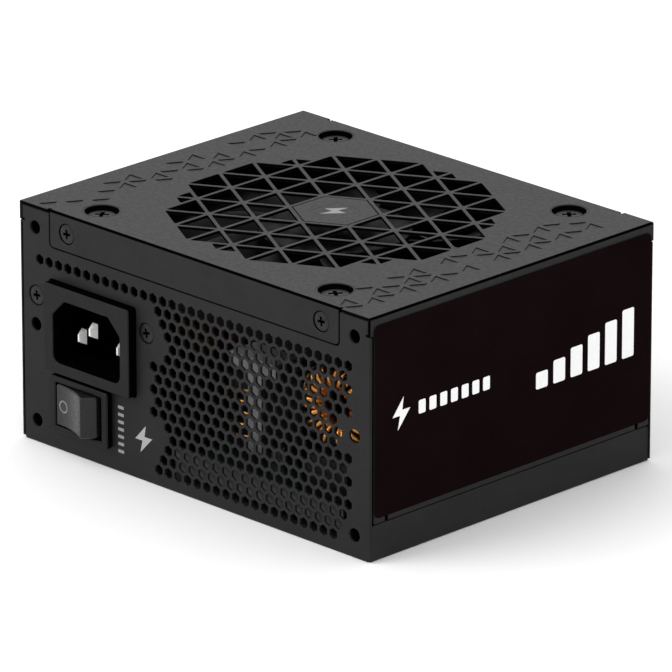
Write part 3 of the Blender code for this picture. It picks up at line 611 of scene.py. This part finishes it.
def make_cover():
    """Makes the cover: the fan side, two side flaps and a screw tab at each end, folded from one blank."""
    flat_half = COVER_HALF - BEND
    flat_end = HALF_DEPTH - BEND

    def down(z):
        """How far a height lies along the blank, past the start of a bend."""
        return BEND_LENGTH + HEIGHT - BEND - z

    side = flat_half + down(COVER_BOTTOM)
    shoulder = flat_half + down(SHOULDER + GAP)
    step = HALF_DEPTH - SHEET - GAP
    notch_x = side - NOTCH_DEPTH
    notch = (HALF_DEPTH - NOTCH_FROM_END - NOTCH_WIDTH / 2, HALF_DEPTH - NOTCH_FROM_END + NOTCH_WIDTH / 2)
    quarter = [(TAB_HALF, flat_end + down(TAB_BOTTOM), 1.2), (TAB_HALF, flat_end - 0.5), (TAB_HALF + 1, flat_end - 0.5),
               (TAB_HALF + 1, HALF_DEPTH), (shoulder, HALF_DEPTH), (shoulder, step), (side, step, 0.5),
               (side, notch[1]), (notch_x, notch[1]), (notch_x, notch[0]), (side, notch[0])]
    outline = four_quarters([(x, -y, *radius) for x, y, *radius in quarter] + quarter[::-1])
    holes = [(grille_triangle(*hole), BAR_RIM) for hole in grille_holes()]
    holes += [polygon(x, y, DIMPLE_RADIUS + 0.25, 32) for x, y in DIMPLES]
    for end in (-1, 1):
        tab_y = end * (flat_end + down(COVER_SCREW_Z))
        holes += [polygon(x, tab_y, SCREW_SEAT, 28) for x in (-COVER_SCREW_X, COVER_SCREW_X)]
    pockets = [(polygon(0, 0, HUB_POCKET, 6, math.pi / 6), 0.3), (BADGE_SEAT, 0.5)]
    pockets += [(points, PATTERN_DEPTH) for points in pattern_pockets()]
    bm = bmesh.new()
    # The cut sides of the holes and pockets take painted shade.
    add_sheet(bm, outline, holes, pockets, walls=1)
    bends = [(0, way * flat_half, way, lambda co: True) for way in (-1, 1)]
    bends += [(1, way * flat_end, way, lambda co: abs(co.x) < TAB_HALF + 0.5) for way in (-1, 1)]
    # Every bend of the cover takes painted shade, so the folds read as dark lines.
    fold(bm, bends, lambda axis, way: True)
    place(bm, bm.verts, at=(0, FAN_Y, HEIGHT))
    bm.normal_update()
    # Cover faces that do not look up take case_coat, the copy with less sheen, so only the top carries the painted
    # sheen.
    for face in bm.faces:
        if face.material_index == 0 and abs(face.normal.z) < 0.5:
            face.material_index = 2
    for x, y in DIMPLES:
        cup = ((DIMPLE_RADIUS + 0.3, -0.12), (DIMPLE_RADIUS + 0.05, 0), (DIMPLE_RADIUS - 0.15, -0.08),
               (DIMPLE_RADIUS - 0.25, -0.3), (DIMPLE_RADIUS - 0.4, -DIMPLE_DEPTH + 0.35),
               (DIMPLE_RADIUS - 0.8, -DIMPLE_DEPTH), (2.2, -DIMPLE_DEPTH), (2.2, -DIMPLE_DEPTH - SHEET),
               (DIMPLE_RADIUS, -DIMPLE_DEPTH - SHEET), (DIMPLE_RADIUS + 0.5, -SHEET), (DIMPLE_RADIUS + 0.5, -0.3),
               (DIMPLE_RADIUS + 0.3, -0.12))
        # The inside of each dimple cup below its rim takes painted shade.
        for vert in add_turned(bm, cup, (x, FAN_Y + y, HEIGHT), sides=40):
            if vert.co.z < HEIGHT - 0.2:
                for face in vert.link_faces:
                    face.material_index = 1
    bmesh.ops.remove_doubles(bm, verts=bm.verts, dist=1e-4)
    piece("cover", bm, (TOP_SHEEN_COAT, PAINTED_SHADE, CASE_COAT), replaces=("top_cover",))


def make_case():
    """Makes the case shell: floor, side flanges, mains panel and socket panel, folded from one blank."""
    flat_half = TRAY_HALF - BEND
    flat_end = HALF_DEPTH - BEND
    wrap_line = COVER_HALF - BEND
    wrap = wrap_line + BEND_LENGTH + LIP
    inner = COVER_HALF - SHEET - GAP
    pocket_half = TAB_HALF + 0.4
    foot = flat_end + BEND_LENGTH + 0.1

    def up(z):
        """How far a height on an end panel lies along the blank, from its middle."""
        return flat_end + BEND_LENGTH + z - BEND

    flange = flat_half + BEND_LENGTH + FLANGE_HEIGHT - BEND
    flange_end = HALF_DEPTH - BEND - LIP
    quarter = [(flange, flange_end, 1.2), (flat_half - 0.3, flange_end), (flat_half - 0.3, foot), (wrap, foot),
               (wrap, up(SHOULDER)), (inner - 0.7, up(SHOULDER)), (inner - 0.7, up(SHOULDER + 0.7)),
               (inner, up(SHOULDER + 0.7)), (inner, up(PLATE_TOP)), (pocket_half, up(PLATE_TOP)),
               (pocket_half, up(TAB_BOTTOM - 0.4), 1.5)]
    outline = four_quarters([(x, -y, *radius) for x, y, *radius in reversed(quarter)] + quarter)

    holes = [rectangle(INLET_X, -up(INLET_Z), *INLET_OPENING, 0.8),
             rectangle(SWITCH_X, -up(SWITCH_Z), *SWITCH_OPENING, 0.4)]
    for side in (-1, 1):
        holes += [(polygon(side * MOUNT_X, -up(z), MOUNT_RADIUS), MOUNT_RIM) for z in MOUNT_ROWS]
        holes.append(polygon(EAR_X + side * EAR_SPACING / 2, -up(EAR_Z), SCREW_SEAT))
    for row, (first, last) in enumerate(VENT_ROWS):
        for column in range(first, last + 1, 2):
            x = VENT_LEFT + column * VENT_STEP
            holes.append(polygon(x, -up(VENT_TOP - row * VENT_ROW_STEP), VENT_RADIUS, 6, math.pi / 6))
    for name in SOCKETS:
        low, high, middle = cad(name)
        holes.append(rectangle(middle.x, up(middle.z), (high.x - low.x) / 2 + GAP, (high.z - low.z) / 2 + GAP, 0.5))
    bm = bmesh.new()
    add_sheet(bm, outline, holes)
    bends = [(0, way * wrap_line, way, lambda co: abs(co.y) > flat_end + BEND_LENGTH) for way in (-1, 1)]
    bends += [(0, way * flat_half, way, lambda co: abs(co.y) < flat_end) for way in (-1, 1)]
    bends += [(1, way * flat_end, way, lambda co: abs(co.x) < flat_half - 0.2 or abs(co.y) > foot - 0.01)
              for way in (-1, 1)]
    # The bends on the left, where the panels wrap round and the floor turns up into the flange, take painted shade, so
    # they read as dark lines.
    fold(bm, bends, lambda axis, way: axis == 0 and way < 0)
    bmesh.ops.transform(bm, matrix=Matrix.Translation((0, FAN_Y, 0)) @ Matrix.Diagonal((1, 1, -1, 1)), verts=bm.verts)
    piece("case_shell", bm, (CASE_COAT, PAINTED_SHADE), replaces=("ac_panel", "chassis_tray"))


def make_tongues():
    """Makes the stepped-in strips that the cover screws hold on to, and strips behind the two side seams, both in
    painted shade so the gaps round them read dark.
    """
    for end, outer, inward in ENDS:
        bm = bmesh.new()
        middle = (TAB_BOTTOM - 1.6 + PLATE_TOP) / 2
        outline = rectangle(0, middle, TAB_HALF + 1.6, middle - TAB_BOTTOM + 1.6, 1.0)
        holes = [polygon(x, COVER_SCREW_Z, 1.7) for x in (-COVER_SCREW_X, COVER_SCREW_X)]
        verts = add_sheet(bm, outline, holes)
        place(bm, verts, end, (0, outer + inward * (SHEET + GAP), 0))
        piece(f"tab_shade_backing_{end}", bm, PAINTED_SHADE)
    bm = bmesh.new()
    for facing, side in SIDES:
        outline = rectangle(side * FAN_Y, COVER_BOTTOM, HALF_DEPTH - 1.6, 1.8, 0.3)
        strip = add_sheet(bm, outline, thickness=0.3, edge=0.04)
        place(bm, strip, facing, (side * (TRAY_HALF - SHEET - 0.05), 0, 0))
    piece("gap_shade_strip", bm, PAINTED_SHADE)


# Labels

BOLT = ((0.60, 1.0), (0.10, 0.44), (0.44, 0.44), (0.34, 0.0), (0.90, 0.60), (0.54, 0.60))


def bolt(x, y, width, height):
    """Gives a plain lightning bolt, as found on any electrical label."""
    return [Vector((x + across * width, y + up * height)) for across, up in BOLT]


def lay_sheets(name, outlines, facing, at, material, thickness=0.03, edge=0.0, replaces=()):
    """Makes one piece of thin flat sheets: a label, or with no softened edge the marks printed on it."""
    bm = bmesh.new()
    for outline in outlines:
        add_sheet(bm, outline, thickness=thickness, edge=edge)
    place(bm, bm.verts, facing, at)
    piece(name, bm, material, replaces=replaces, weighted=edge > 0)


def side_marks():
    """Gives the label's print: a bolt with a row of short bars, and a large level gauge, all generic."""
    marks = [bolt(-43.6, 32.4, 7.6, 8.4)]
    for number in range(7):
        marks.append(rectangle(-32.6 + number * 3.75, 36.6, 1.2, 1.75, 0.4, 3))
    for number in range(6):
        height = 4.4 + 1.7 * number
        marks.append(rectangle(9.6 + number * 6.2, 30.2 + height / 2, 2.1, height / 2, 0.5, 3))
    return marks


def make_labels():
    for name, side in SIDES[::-1]:
        low, high, middle = cad(f"side_label_{name}")
        outline = rectangle(0, middle.z, (high.y - low.y) / 2, (high.z - low.z) / 2, 1.75, 6)
        lay_sheets(f"label_{name}", [outline], name, (side * (LABEL_FACE - 0.04), middle.y, 0), LABEL_FILM,
                   0.2, 0.05, (f"side_label_{name}",))
        lay_sheets(f"label_print_{name}", side_marks(), name, (side * LABEL_FACE, middle.y, 0), WHITE_INK,
                   0.05)
    middle = cad("grille_badge")[2]
    lay_sheets("badge", [rectangle(middle.x, middle.y, 4.5, 4.75, 0.5)], "up", (0, 0, HEIGHT - 0.02), TOP_SHEEN_COAT,
               0.35, 0.02, ("grille_badge",))
    lay_sheets("badge_print", [bolt(middle.x - 3.9, middle.y - 4.2, 7.8, 8.4)], "up", (0, 0, HEIGHT), BADGE_INK,
               0.05)
    bm = bmesh.new()
    # The walls round the badge seat take painted shade.
    add_sheet(bm, polygon(0, 0, HUB_PLATE, 6, math.pi / 6), [BADGE_SEAT], thickness=0.27, edge=0.04, walls=1)
    place(bm, bm.verts, at=(0, FAN_Y, HEIGHT))
    piece("hub_plate", bm, (TOP_SHEEN_COAT, PAINTED_SHADE))
    # A strip of painted shade along the panel's left edge, where the seam to the side flap falls in shade.
    seam_shade = rectangle(-COVER_HALF + 1.0, 29.6, 0.22, 28.4)
    scale = [rectangle(-25.8, 5.7 + number * 1.95, 1.05, 0.42, 0.2, 2) for number in range(7)]
    for name, marks, ink in (("edge_shade_strip", [seam_shade], PAINTED_SHADE),
                             ("panel_print", [bolt(-21.4, 7.4, 7.6, 7.4)], GREY_INK),
                             ("panel_scale", scale, BADGE_INK)):
        lay_sheets(name, marks, "front", (0, FRONT - 0.01, 0), ink)


# Fasteners

def screw_mesh(name, profile, recess):
    """Makes the mesh of a cross-head screw that stands along +Z with its head's top at 0."""
    bm = bmesh.new()
    add_turned(bm, profile, sides=40)
    head = piece(name, bm, SCREW_BLACK)
    cutter = bmesh.new()
    for quarter in (0, 1):
        size = Matrix.Diagonal((recess, RECESS_WIDTH * recess + 0.01 * quarter, 2.4, 1))
        turned = Matrix.Rotation(quarter * QUARTER, 4, "Z") @ size
        for vert in bmesh.ops.create_cube(cutter, size=1, matrix=turned)["verts"]:
            if vert.co.z < 0:
                vert.co.x *= 0.5
                vert.co.y *= 0.5
    bmesh.ops.scale(cutter, verts=cutter.verts, vec=(MM, MM, MM))
    # The cutter carries painted shade into the cross recess, so it reads black.
    tool = mesh_object(f"{name}_recess", cutter, PAINTED_SHADE)
    cut = head.modifiers.new("Recess", "BOOLEAN")
    cut.solver = "EXACT"
    cut.use_self = True
    cut.material_mode = "TRANSFER"
    cut.object = tool
    head.modifiers.move(1, 0)
    graph = bpy.context.evaluated_depsgraph_get()
    made = bpy.data.meshes.new_from_object(head.evaluated_get(graph), depsgraph=graph)
    made.name = f"{name}_mesh"
    bpy.data.objects.remove(tool)
    bpy.data.objects.remove(head)
    return made


def set_screw(node, mesh, facing, at, turn):
    item = add_object(f"{node}_head", mesh)
    item.matrix_world = Matrix.Translation(Vector(at) * MM) @ FACING[facing] @ Matrix.Rotation(turn, 4, "Z")
    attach(item, "case")
    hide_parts(node)


def make_screws():
    flat_head = ((0, 0.0), (1.6, 0.0), (2.15, -0.05), (2.45, -0.16), (2.55, -0.32), (1.3, -1.25), (1.3, -1.6),
                 (1.15, -1.7), (1.3, -1.8), (1.15, -1.95), (1.3, -2.1), (1.15, -2.3), (1.15, -3.3), (0, -3.3))
    pan_head = ((0, 0.0), (2.2, -0.01), (3.2, -0.06), (3.6, -0.2), (3.78, -0.45), (3.8, -1.0), (1.6, -1.02),
                (1.6, -8.9), (0, -8.9))
    flat = screw_mesh("flat_screw", flat_head, FLAT_RECESS)
    pan = screw_mesh("pan_screw", pan_head, PAN_RECESS)
    draw = random.Random(5)
    for end, outer, inward in ENDS:
        for side_name, side in SIDES:
            place_at = (side * COVER_SCREW_X, outer + inward * 0.1, COVER_SCREW_Z)
            set_screw(f"cover_screw_{end}_{side_name}", flat, end, place_at, draw.uniform(-0.25, 0.25))
    for side_name, side in SIDES:
        place_at = (EAR_X + side * EAR_SPACING / 2, FRONT + 0.1, EAR_Z)
        set_screw(f"inlet_screw_{side_name}", flat, "front", place_at, draw.uniform(-0.25, 0.25))
    for number, (x, y) in enumerate(DIMPLES, 1):
        set_screw(f"fan_screw_{number}", pan, "up", (x, FAN_Y + y, HEIGHT - 0.95),
                  math.pi / 4 + draw.uniform(-0.15, 0.15))


# Mains inlet and switch

def make_inlet():
    left, right, low, high = INLET_X - 12.1, INLET_X + 12.1, 24.5, 41.4
    mouth = rounded([(left, low, 2.2), (right, low, 2.2), (right, high - 4.2, 0.5), (right - 4.2, high, 0.5),
                     (left + 4.2, high, 0.5), (left, high - 4.2, 0.5)], 5)
    depth = 12.5 + INLET_PROUD
    bm = bmesh.new()
    # The walls of the mouth take painted shade.
    front = add_sheet(bm, rectangle(INLET_X, INLET_Z, 15.4, 11.7, 0.7), [mouth], thickness=depth + 0.2, edge=0.22,
                      walls=1)
    place(bm, front, "front", (0, FRONT - INLET_PROUD, 0))
    slots = []
    for name in PINS:
        middle = cad(name)[2]
        slots.append(rectangle(middle.x, middle.z, 1.25, 2.25, 0.2, 2))
    back = add_sheet(bm, rectangle(INLET_X, 33.0, 14.0, 10.0, 0.7), slots, thickness=2.5, edge=0.1)
    # The back plate, deep in the mouth, takes painted shade all over.
    for vert in back:
        for face in vert.link_faces:
            face.material_index = 1
    place(bm, back, "front", (0, FRONT + 12.5, 0))
    ears = []
    for side in (-1, 1):
        edge, tip = INLET_X + side * 16.6, EAR_X + side * (EAR_SPACING / 2 + 4.0)
        ears += [(edge, INLET_Z - side * 12.4, 1), (edge, EAR_Z - side * 3.2), (tip, EAR_Z - side * 3.2, 2),
                 (tip, EAR_Z + side * 3.2, 2), (edge, EAR_Z + side * 3.2), (edge, INLET_Z + side * 12.4, 1)]
    screw_holes = [polygon(EAR_X + side * EAR_SPACING / 2, EAR_Z, 1.5) for side in (-1, 1)]
    flange = add_sheet(bm, rounded(ears), [offset(mouth, 1.0), *screw_holes], thickness=2.4, edge=0.1)
    place(bm, flange, "front", (0, FRONT + SHEET + GAP, 0))
    piece("inlet_block", bm, (BLACK_NYLON, PAINTED_SHADE), replaces=("inlet_housing",))


def make_pins():
    """Makes the three flat pins: bright tapered tips, and shanks given painted shade where they lie in the depth of the
    inlet.
    """
    for name in PINS:
        low, high, middle = cad(name)
        low.y += PIN_SETBACK
        z = middle.z
        outline = rounded([(low.y, z - 0.95, 0.2), (low.y + PIN_TIP, z - 2.0), (high.y, z - 2.0), (high.y, z + 2.0),
                           (low.y + PIN_TIP, z + 2.0), (low.y, z + 0.95, 0.2)], 3)
        bm = bmesh.new()
        add_sheet(bm, outline, thickness=high.x - low.x, edge=0.12)
        place(bm, bm.verts, "right", (high.x, 0, 0))
        split(bm, (0, low.y + PIN_TIP, 0), (0, 1, 0))
        for vert in bm.verts:
            share = min((vert.co.y - low.y) / PIN_TIP, 1.0)
            vert.co.x = middle.x + (vert.co.x - middle.x) * (0.25 + 0.75 * share)
        # Past the tapered tip the pin takes painted shade.
        for face in bm.faces:
            if face.calc_center_median().y > low.y + PIN_TIP:
                face.material_index = 1
        piece(f"{name}_blade", bm, (PIN_PLATING, PAINTED_SHADE), replaces=(name,))


def rocker_face(across):
    """How far the rocker's dished face stands out from its pivot."""
    share = max(-1.0, min(1.0, across / TIP_SIDE))
    return TIP_OUT - ROCKER_DISH * (1 - share * share)


def tilted(across, out):
    """Gives where a point of the rocker lies across and along Y, with the O side pressed in."""
    cosine, sine = math.cos(ROCKER_TILT), math.sin(ROCKER_TILT)
    return (SWITCH_X + across * cosine - out * sine, FRONT + PIVOT_DEPTH - across * sine - out * cosine)


def make_switch():
    bm = bmesh.new()
    frame_outline = rectangle(SWITCH_X, SWITCH_Z, 10.55, 7.45, 0.8)
    # The walls of the bezel's opening take painted shade.
    bezel = add_sheet(bm, frame_outline, [rectangle(SWITCH_X, SWITCH_Z, 8.3, 5.85, 0.3)],
                      thickness=BEZEL_PROUD - 0.1, edge=0.3, walls=1)
    place(bm, bezel, "front", (0, FRONT - BEZEL_PROUD, 0))
    body = rectangle(SWITCH_X, SWITCH_Z, 9.8, 6.7, 0.3)
    well = add_sheet(bm, body, [rectangle(SWITCH_X, SWITCH_Z, 9.0, 5.85, 0.2)], thickness=11.5, edge=0.05)
    place(bm, well, "front", (0, FRONT - 0.9, 0))
    slots = [rectangle(SWITCH_X + x, SWITCH_Z, 0.7, 2.7) for x in (-4.5, 4.5)]
    back = add_sheet(bm, body, slots, thickness=1.5, edge=0.05)
    place(bm, back, "front", (0, FRONT + 10.5, 0))
    piece("switch_bezel", bm, (BLACK_NYLON, PAINTED_SHADE), replaces=("switch_housing",))

    face = [(across, rocker_face(across)) for across in (TIP_SIDE * (1 - step / 12) for step in range(25))]
    face[0], face[-1] = (*face[0], 0.35), (*face[-1], 0.35)
    back = [(-7.95, 4.0, 0.8), (-7.0, 1.0), (-4.5, -1.8), (0, -2.5), (4.5, -1.8), (7.0, 1.0), (7.95, 4.0, 0.8)]
    outline = rounded([(*tilted(*corner[:2]), *corner[2:]) for corner in face + back])
    bm = bmesh.new()
    add_sheet(bm, outline, thickness=2 * ROCKER_HALF_HEIGHT, edge=0.3)
    place(bm, bm.verts, at=(0, 0, SWITCH_Z + ROCKER_HALF_HEIGHT))
    pivot = (SWITCH_X, FRONT + PIVOT_DEPTH, SWITCH_Z)
    reach = ROCKER_HALF_HEIGHT + 0.6
    add_turned(bm, ((0, reach), (1.0, reach), (1.0, -reach), (0, -reach)), pivot, sides=16)
    piece("rocker", bm, ROCKER_NYLON, "rocker", replaces=("switch_rocker",))

    bm = bmesh.new()
    rings = []
    for radius in (1.2, 1.65):
        ring = []
        for point in polygon(-3.5, 0, radius, 40):
            x, y = tilted(point.x, rocker_face(point.x) + 0.02)
            ring.append(bm.verts.new((x, y, SWITCH_Z + point.y)))
        rings.append(ring)
    for k in range(40):
        bm.faces.new((rings[0][k - 1], rings[0][k], rings[1][k], rings[1][k - 1]))
    bmesh.ops.solidify(bm, geom=bm.faces[:], thickness=0.03)
    piece("rocker_mark", bm, GREY_INK, "rocker", weighted=False)


# Fan

def make_rotor():
    """Makes the fan's hub and nine swept blades with rounded edges."""
    low, high, _ = cad("fan_rotor")
    hub, tip = HUB_RADIUS, BLADE_TIP
    bottom, top = low.z, high.z
    bm = bmesh.new()
    add_turned(bm, ((0, top - 0.35), (6.0, top - 0.35), (6.4, top), (hub - 1.2, top), (hub - 0.35, top - 0.35),
                    (hub, top - 1.2), (hub, bottom), (hub - 1.9, bottom), (hub - 1.9, top - 1.5), (0, top - 1.5)),
               (0, FAN_Y, 0), sides=72)
    across_steps, along_steps = 12, 10
    for blade in range(BLADES):
        start = blade * 2 * math.pi / BLADES
        sides = []
        for face in (-1, 1):
            grid = []
            for a in range(across_steps + 1):
                across = a / across_steps
                row = []
                for b in range(along_steps + 1):
                    out = b / along_steps
                    radius = hub - 0.4 + out * (tip - hub + 0.4)
                    angle = start + BLADE_SWEEP * out ** 1.3 + (BLADE_CHORD - BLADE_TAPER * out) * (across - 0.5)
                    thick = 0.62 * math.sqrt(max(0.0, 1 - (2 * across - 1) ** 4)) + 0.02
                    height = (bottom + top) / 2 + (4.2 - 0.6 * out) * (1 - 2 * across)
                    height += 0.9 * math.sin(math.pi * across) + face * thick
                    height = min(max(height, bottom + 0.05), top - 0.05)
                    row.append(bm.verts.new((radius * math.cos(angle), FAN_Y + radius * math.sin(angle), height)))
                grid.append(row)
            sides.append(grid)
        for grid in sides:
            for lower, upper in zip(grid, grid[1:]):
                for b in range(along_steps):
                    bm.faces.new((lower[b], lower[b + 1], upper[b + 1], upper[b]))
        under, over = sides
        rim = [(a, 0) for a in range(across_steps)] + [(across_steps, b) for b in range(along_steps)]
        rim += [(a, along_steps) for a in range(across_steps, 0, -1)] + [(0, b) for b in range(along_steps, 0, -1)]
        for (a, b), (c, d) in zip(rim, rim[1:] + rim[:1]):
            bm.faces.new((under[a][b], under[c][d], over[c][d], over[a][b]))
    piece("fan_blades_and_hub", bm, FAN_PLASTIC, "fan_blades", replaces=("fan_rotor",), smooth=40)


# Electronics

RING_TURNS = 26
RING_GAP = 0.28
WIRE = 0.65
DRUM_TURNS = 5
DRUM_WIRE = 0.5


def make_windings():
    """Winds enamelled wire round the two ring chokes and the drum choke, one closed turn beside the next."""
    for name, axis, ring, tube, gap_at in (("pfc_choke_winding", "Y", 8.2, 4.0, -QUARTER),
                                           ("filter_choke_winding", "Z", 7.6, 4.4, -QUARTER)):
        centre = cad(name.replace("winding", "core"))[2]
        bm = bmesh.new()
        for turn in range(RING_TURNS):
            angle = gap_at + RING_GAP + 2 * (math.pi - RING_GAP) * turn / (RING_TURNS - 1)
            outward = Vector((math.cos(angle), math.sin(angle)))
            loop = []
            for wide, height in polygon(ring, 0, tube - WIRE, 20):
                x, y = outward * wide
                loop.append(centre + Vector((x, -height, y) if axis == "Y" else (x, y, height)))
            add_tube(bm, loop, WIRE - 0.03, 7)
        finish = DARK_ENAMEL if name.startswith("filter") else COPPER_WIRE
        piece(name.replace("winding", "wire"), bm, finish, replaces=(name,), smooth=60,
              weighted=False)

    low, high, middle = cad("drum_choke_winding")
    bm = bmesh.new()
    radius = (high.x - low.x) / 2 - DRUM_WIRE
    for turn in range(DRUM_TURNS):
        height = low.z + 0.6 + (high.z - low.z - 1.2) * turn / (DRUM_TURNS - 1)
        loop = [Vector((*point, height)) for point in polygon(middle.x, middle.y, radius, 32)]
        add_tube(bm, loop, DRUM_WIRE, 8)
    piece("drum_choke_wire", bm, COPPER_WIRE, replaces=("drum_choke_winding",), smooth=60,
          weighted=False)


def make_sockets():
    """Makes the modular sockets: rounded cells, some with cut corners, and contacts inside."""
    contacts = bmesh.new()
    for name, columns in SOCKETS.items():
        low, high, middle = cad(name)
        holes = []
        for column in range(columns):
            for row in (-0.5, 0.5):
                x = -(middle.x + (column - (columns - 1) / 2) * WAY_PITCH)
                z = middle.z + row * WAY_PITCH
                corner = 0.95 if (column * 3 + int(row * 2 + 1) * 2) % 5 < 2 else 0.3
                holes.append(rectangle(x, z, 1.7, 1.7, corner, 1 if corner > 0.5 else 2))
                post = bmesh.ops.create_cube(contacts, size=1, matrix=Matrix.Translation((-x, high.y - 4.6, z)) @
                                             Matrix.Diagonal((0.9, 7.0, 0.9, 1)))["verts"]
                for vert in post:
                    if vert.co.y > high.y - 2:
                        vert.co.x = -x + (vert.co.x + x) * 0.5
                        vert.co.z = z + (vert.co.z - z) * 0.5
        bm = bmesh.new()
        outline = rectangle(-middle.x, middle.z, (high.x - low.x) / 2, (high.z - low.z) / 2, 0.45)
        front = add_sheet(bm, outline, holes, thickness=8.2, edge=0.14)
        place(bm, front, "rear", (0, high.y, 0))
        back = add_sheet(bm, outline, thickness=high.y - low.y - 8.0, edge=0.14)
        place(bm, back, "rear", (0, high.y - 8.0, 0))
        piece(f"{name}_body", bm, SOCKET_NYLON, replaces=(name,))
    piece("socket_contacts", contacts, PLATED_BRASS)


def dress_frame():
    """Gives each CAD node that stays in view its procedural material."""
    finishes = {"bearing_bronze": BEARING_BRONZE, "bright_steel": BRIGHT_STEEL, "copper": COPPER_WIRE,
                "ferrite": FERRITE, "aluminium": ALUMINIUM, "circuit_board": BOARD, "capacitor_film": SLEEVE,
                "transformer_tape": TAPE, "insulating_film": FILM, "black_nylon": SOCKET_NYLON,
                "fan_plastic": FAN_PLASTIC, "plated_brass": PLATED_BRASS, "case_steel": CASE_COAT,
                "cover_steel": TOP_SHEEN_COAT, "label_film": LABEL_FILM, "badge": BADGE_METAL, "screw_steel": SCREW_BLACK}
    for subpart in frame["record"]["subparts"]:
        item = frame["nodes"][subpart["node"]]
        finish = finishes[subpart["material_slot"]]
        item.data.materials.clear()
        item.data.materials.append(finish)


# Stage

KEY_AT = Vector((-0.55, -1.0, 1.1))
KEY_TOWARDS = Vector((0, 0, 0.03))
KEY_SIZE = 0.9
KEY_POWER = 11
SKY_STRENGTH = 1.2


def make_stage():
    """Sets the pale floor, an even sky that is a little darker low down, and one large soft light."""
    bm = bmesh.new()
    bmesh.ops.create_grid(bm, x_segments=8, y_segments=8, size=6.0)
    mesh_object("floor", bm, floor_finish())
    world = bpy.data.worlds.new("studio")
    world.use_nodes = True
    tree = world.node_tree
    ramp = tree.nodes.new("ShaderNodeValToRGB")
    split = tree.nodes.new("ShaderNodeSeparateXYZ")
    tree.links.new(tree.nodes.new("ShaderNodeTexCoord").outputs["Generated"], split.inputs["Vector"])
    tree.links.new(split.outputs["Z"], ramp.inputs["Fac"])
    tree.links.new(ramp.outputs["Color"], tree.nodes["Background"].inputs["Color"])
    ramp.color_ramp.elements[0].color = (0.7, 0.7, 0.7, 1)
    ramp.color_ramp.elements[1].color = (1, 1, 1, 1)
    ramp.color_ramp.elements[1].position = 0.4
    tree.nodes["Background"].inputs["Strength"].default_value = SKY_STRENGTH
    bpy.context.scene.world = world
    bpy.context.scene.view_settings.view_transform = "Standard"
    light = bpy.data.lights.new("key", "AREA")
    light.energy = KEY_POWER
    light.size = KEY_SIZE
    item = add_object("key", light)
    item.location = KEY_AT
    item.rotation_euler = (KEY_TOWARDS - KEY_AT).to_track_quat("-Z", "Y").to_euler()


AZIMUTH = math.radians(45.01)
ELEVATION = math.radians(20.05)
DISTANCE = 2.091
LENS = 446.1
TARGET = Vector((0.000047, 0.002131, 0.030161))


def make_camera():
    """Sets the camera at the photograph's angle and distance."""
    back = Vector((math.sin(AZIMUTH) * math.cos(ELEVATION), -math.cos(AZIMUTH) * math.cos(ELEVATION),
                   math.sin(ELEVATION)))
    data = bpy.data.cameras.new("camera")
    data.sensor_width = 36
    data.lens = LENS
    camera = add_object("camera", data)
    camera.location = TARGET + back * DISTANCE
    camera.rotation_euler = (-back).to_track_quat("-Z", "Y").to_euler()
    data.clip_start, data.clip_end = 0.05, 50
    bpy.context.scene.camera = camera


make_camera()
make_stage()
dress_frame()
make_cover()
make_case()
make_tongues()
make_labels()
make_screws()
make_inlet()
make_pins()
make_switch()
make_rotor()
make_windings()
make_sockets()
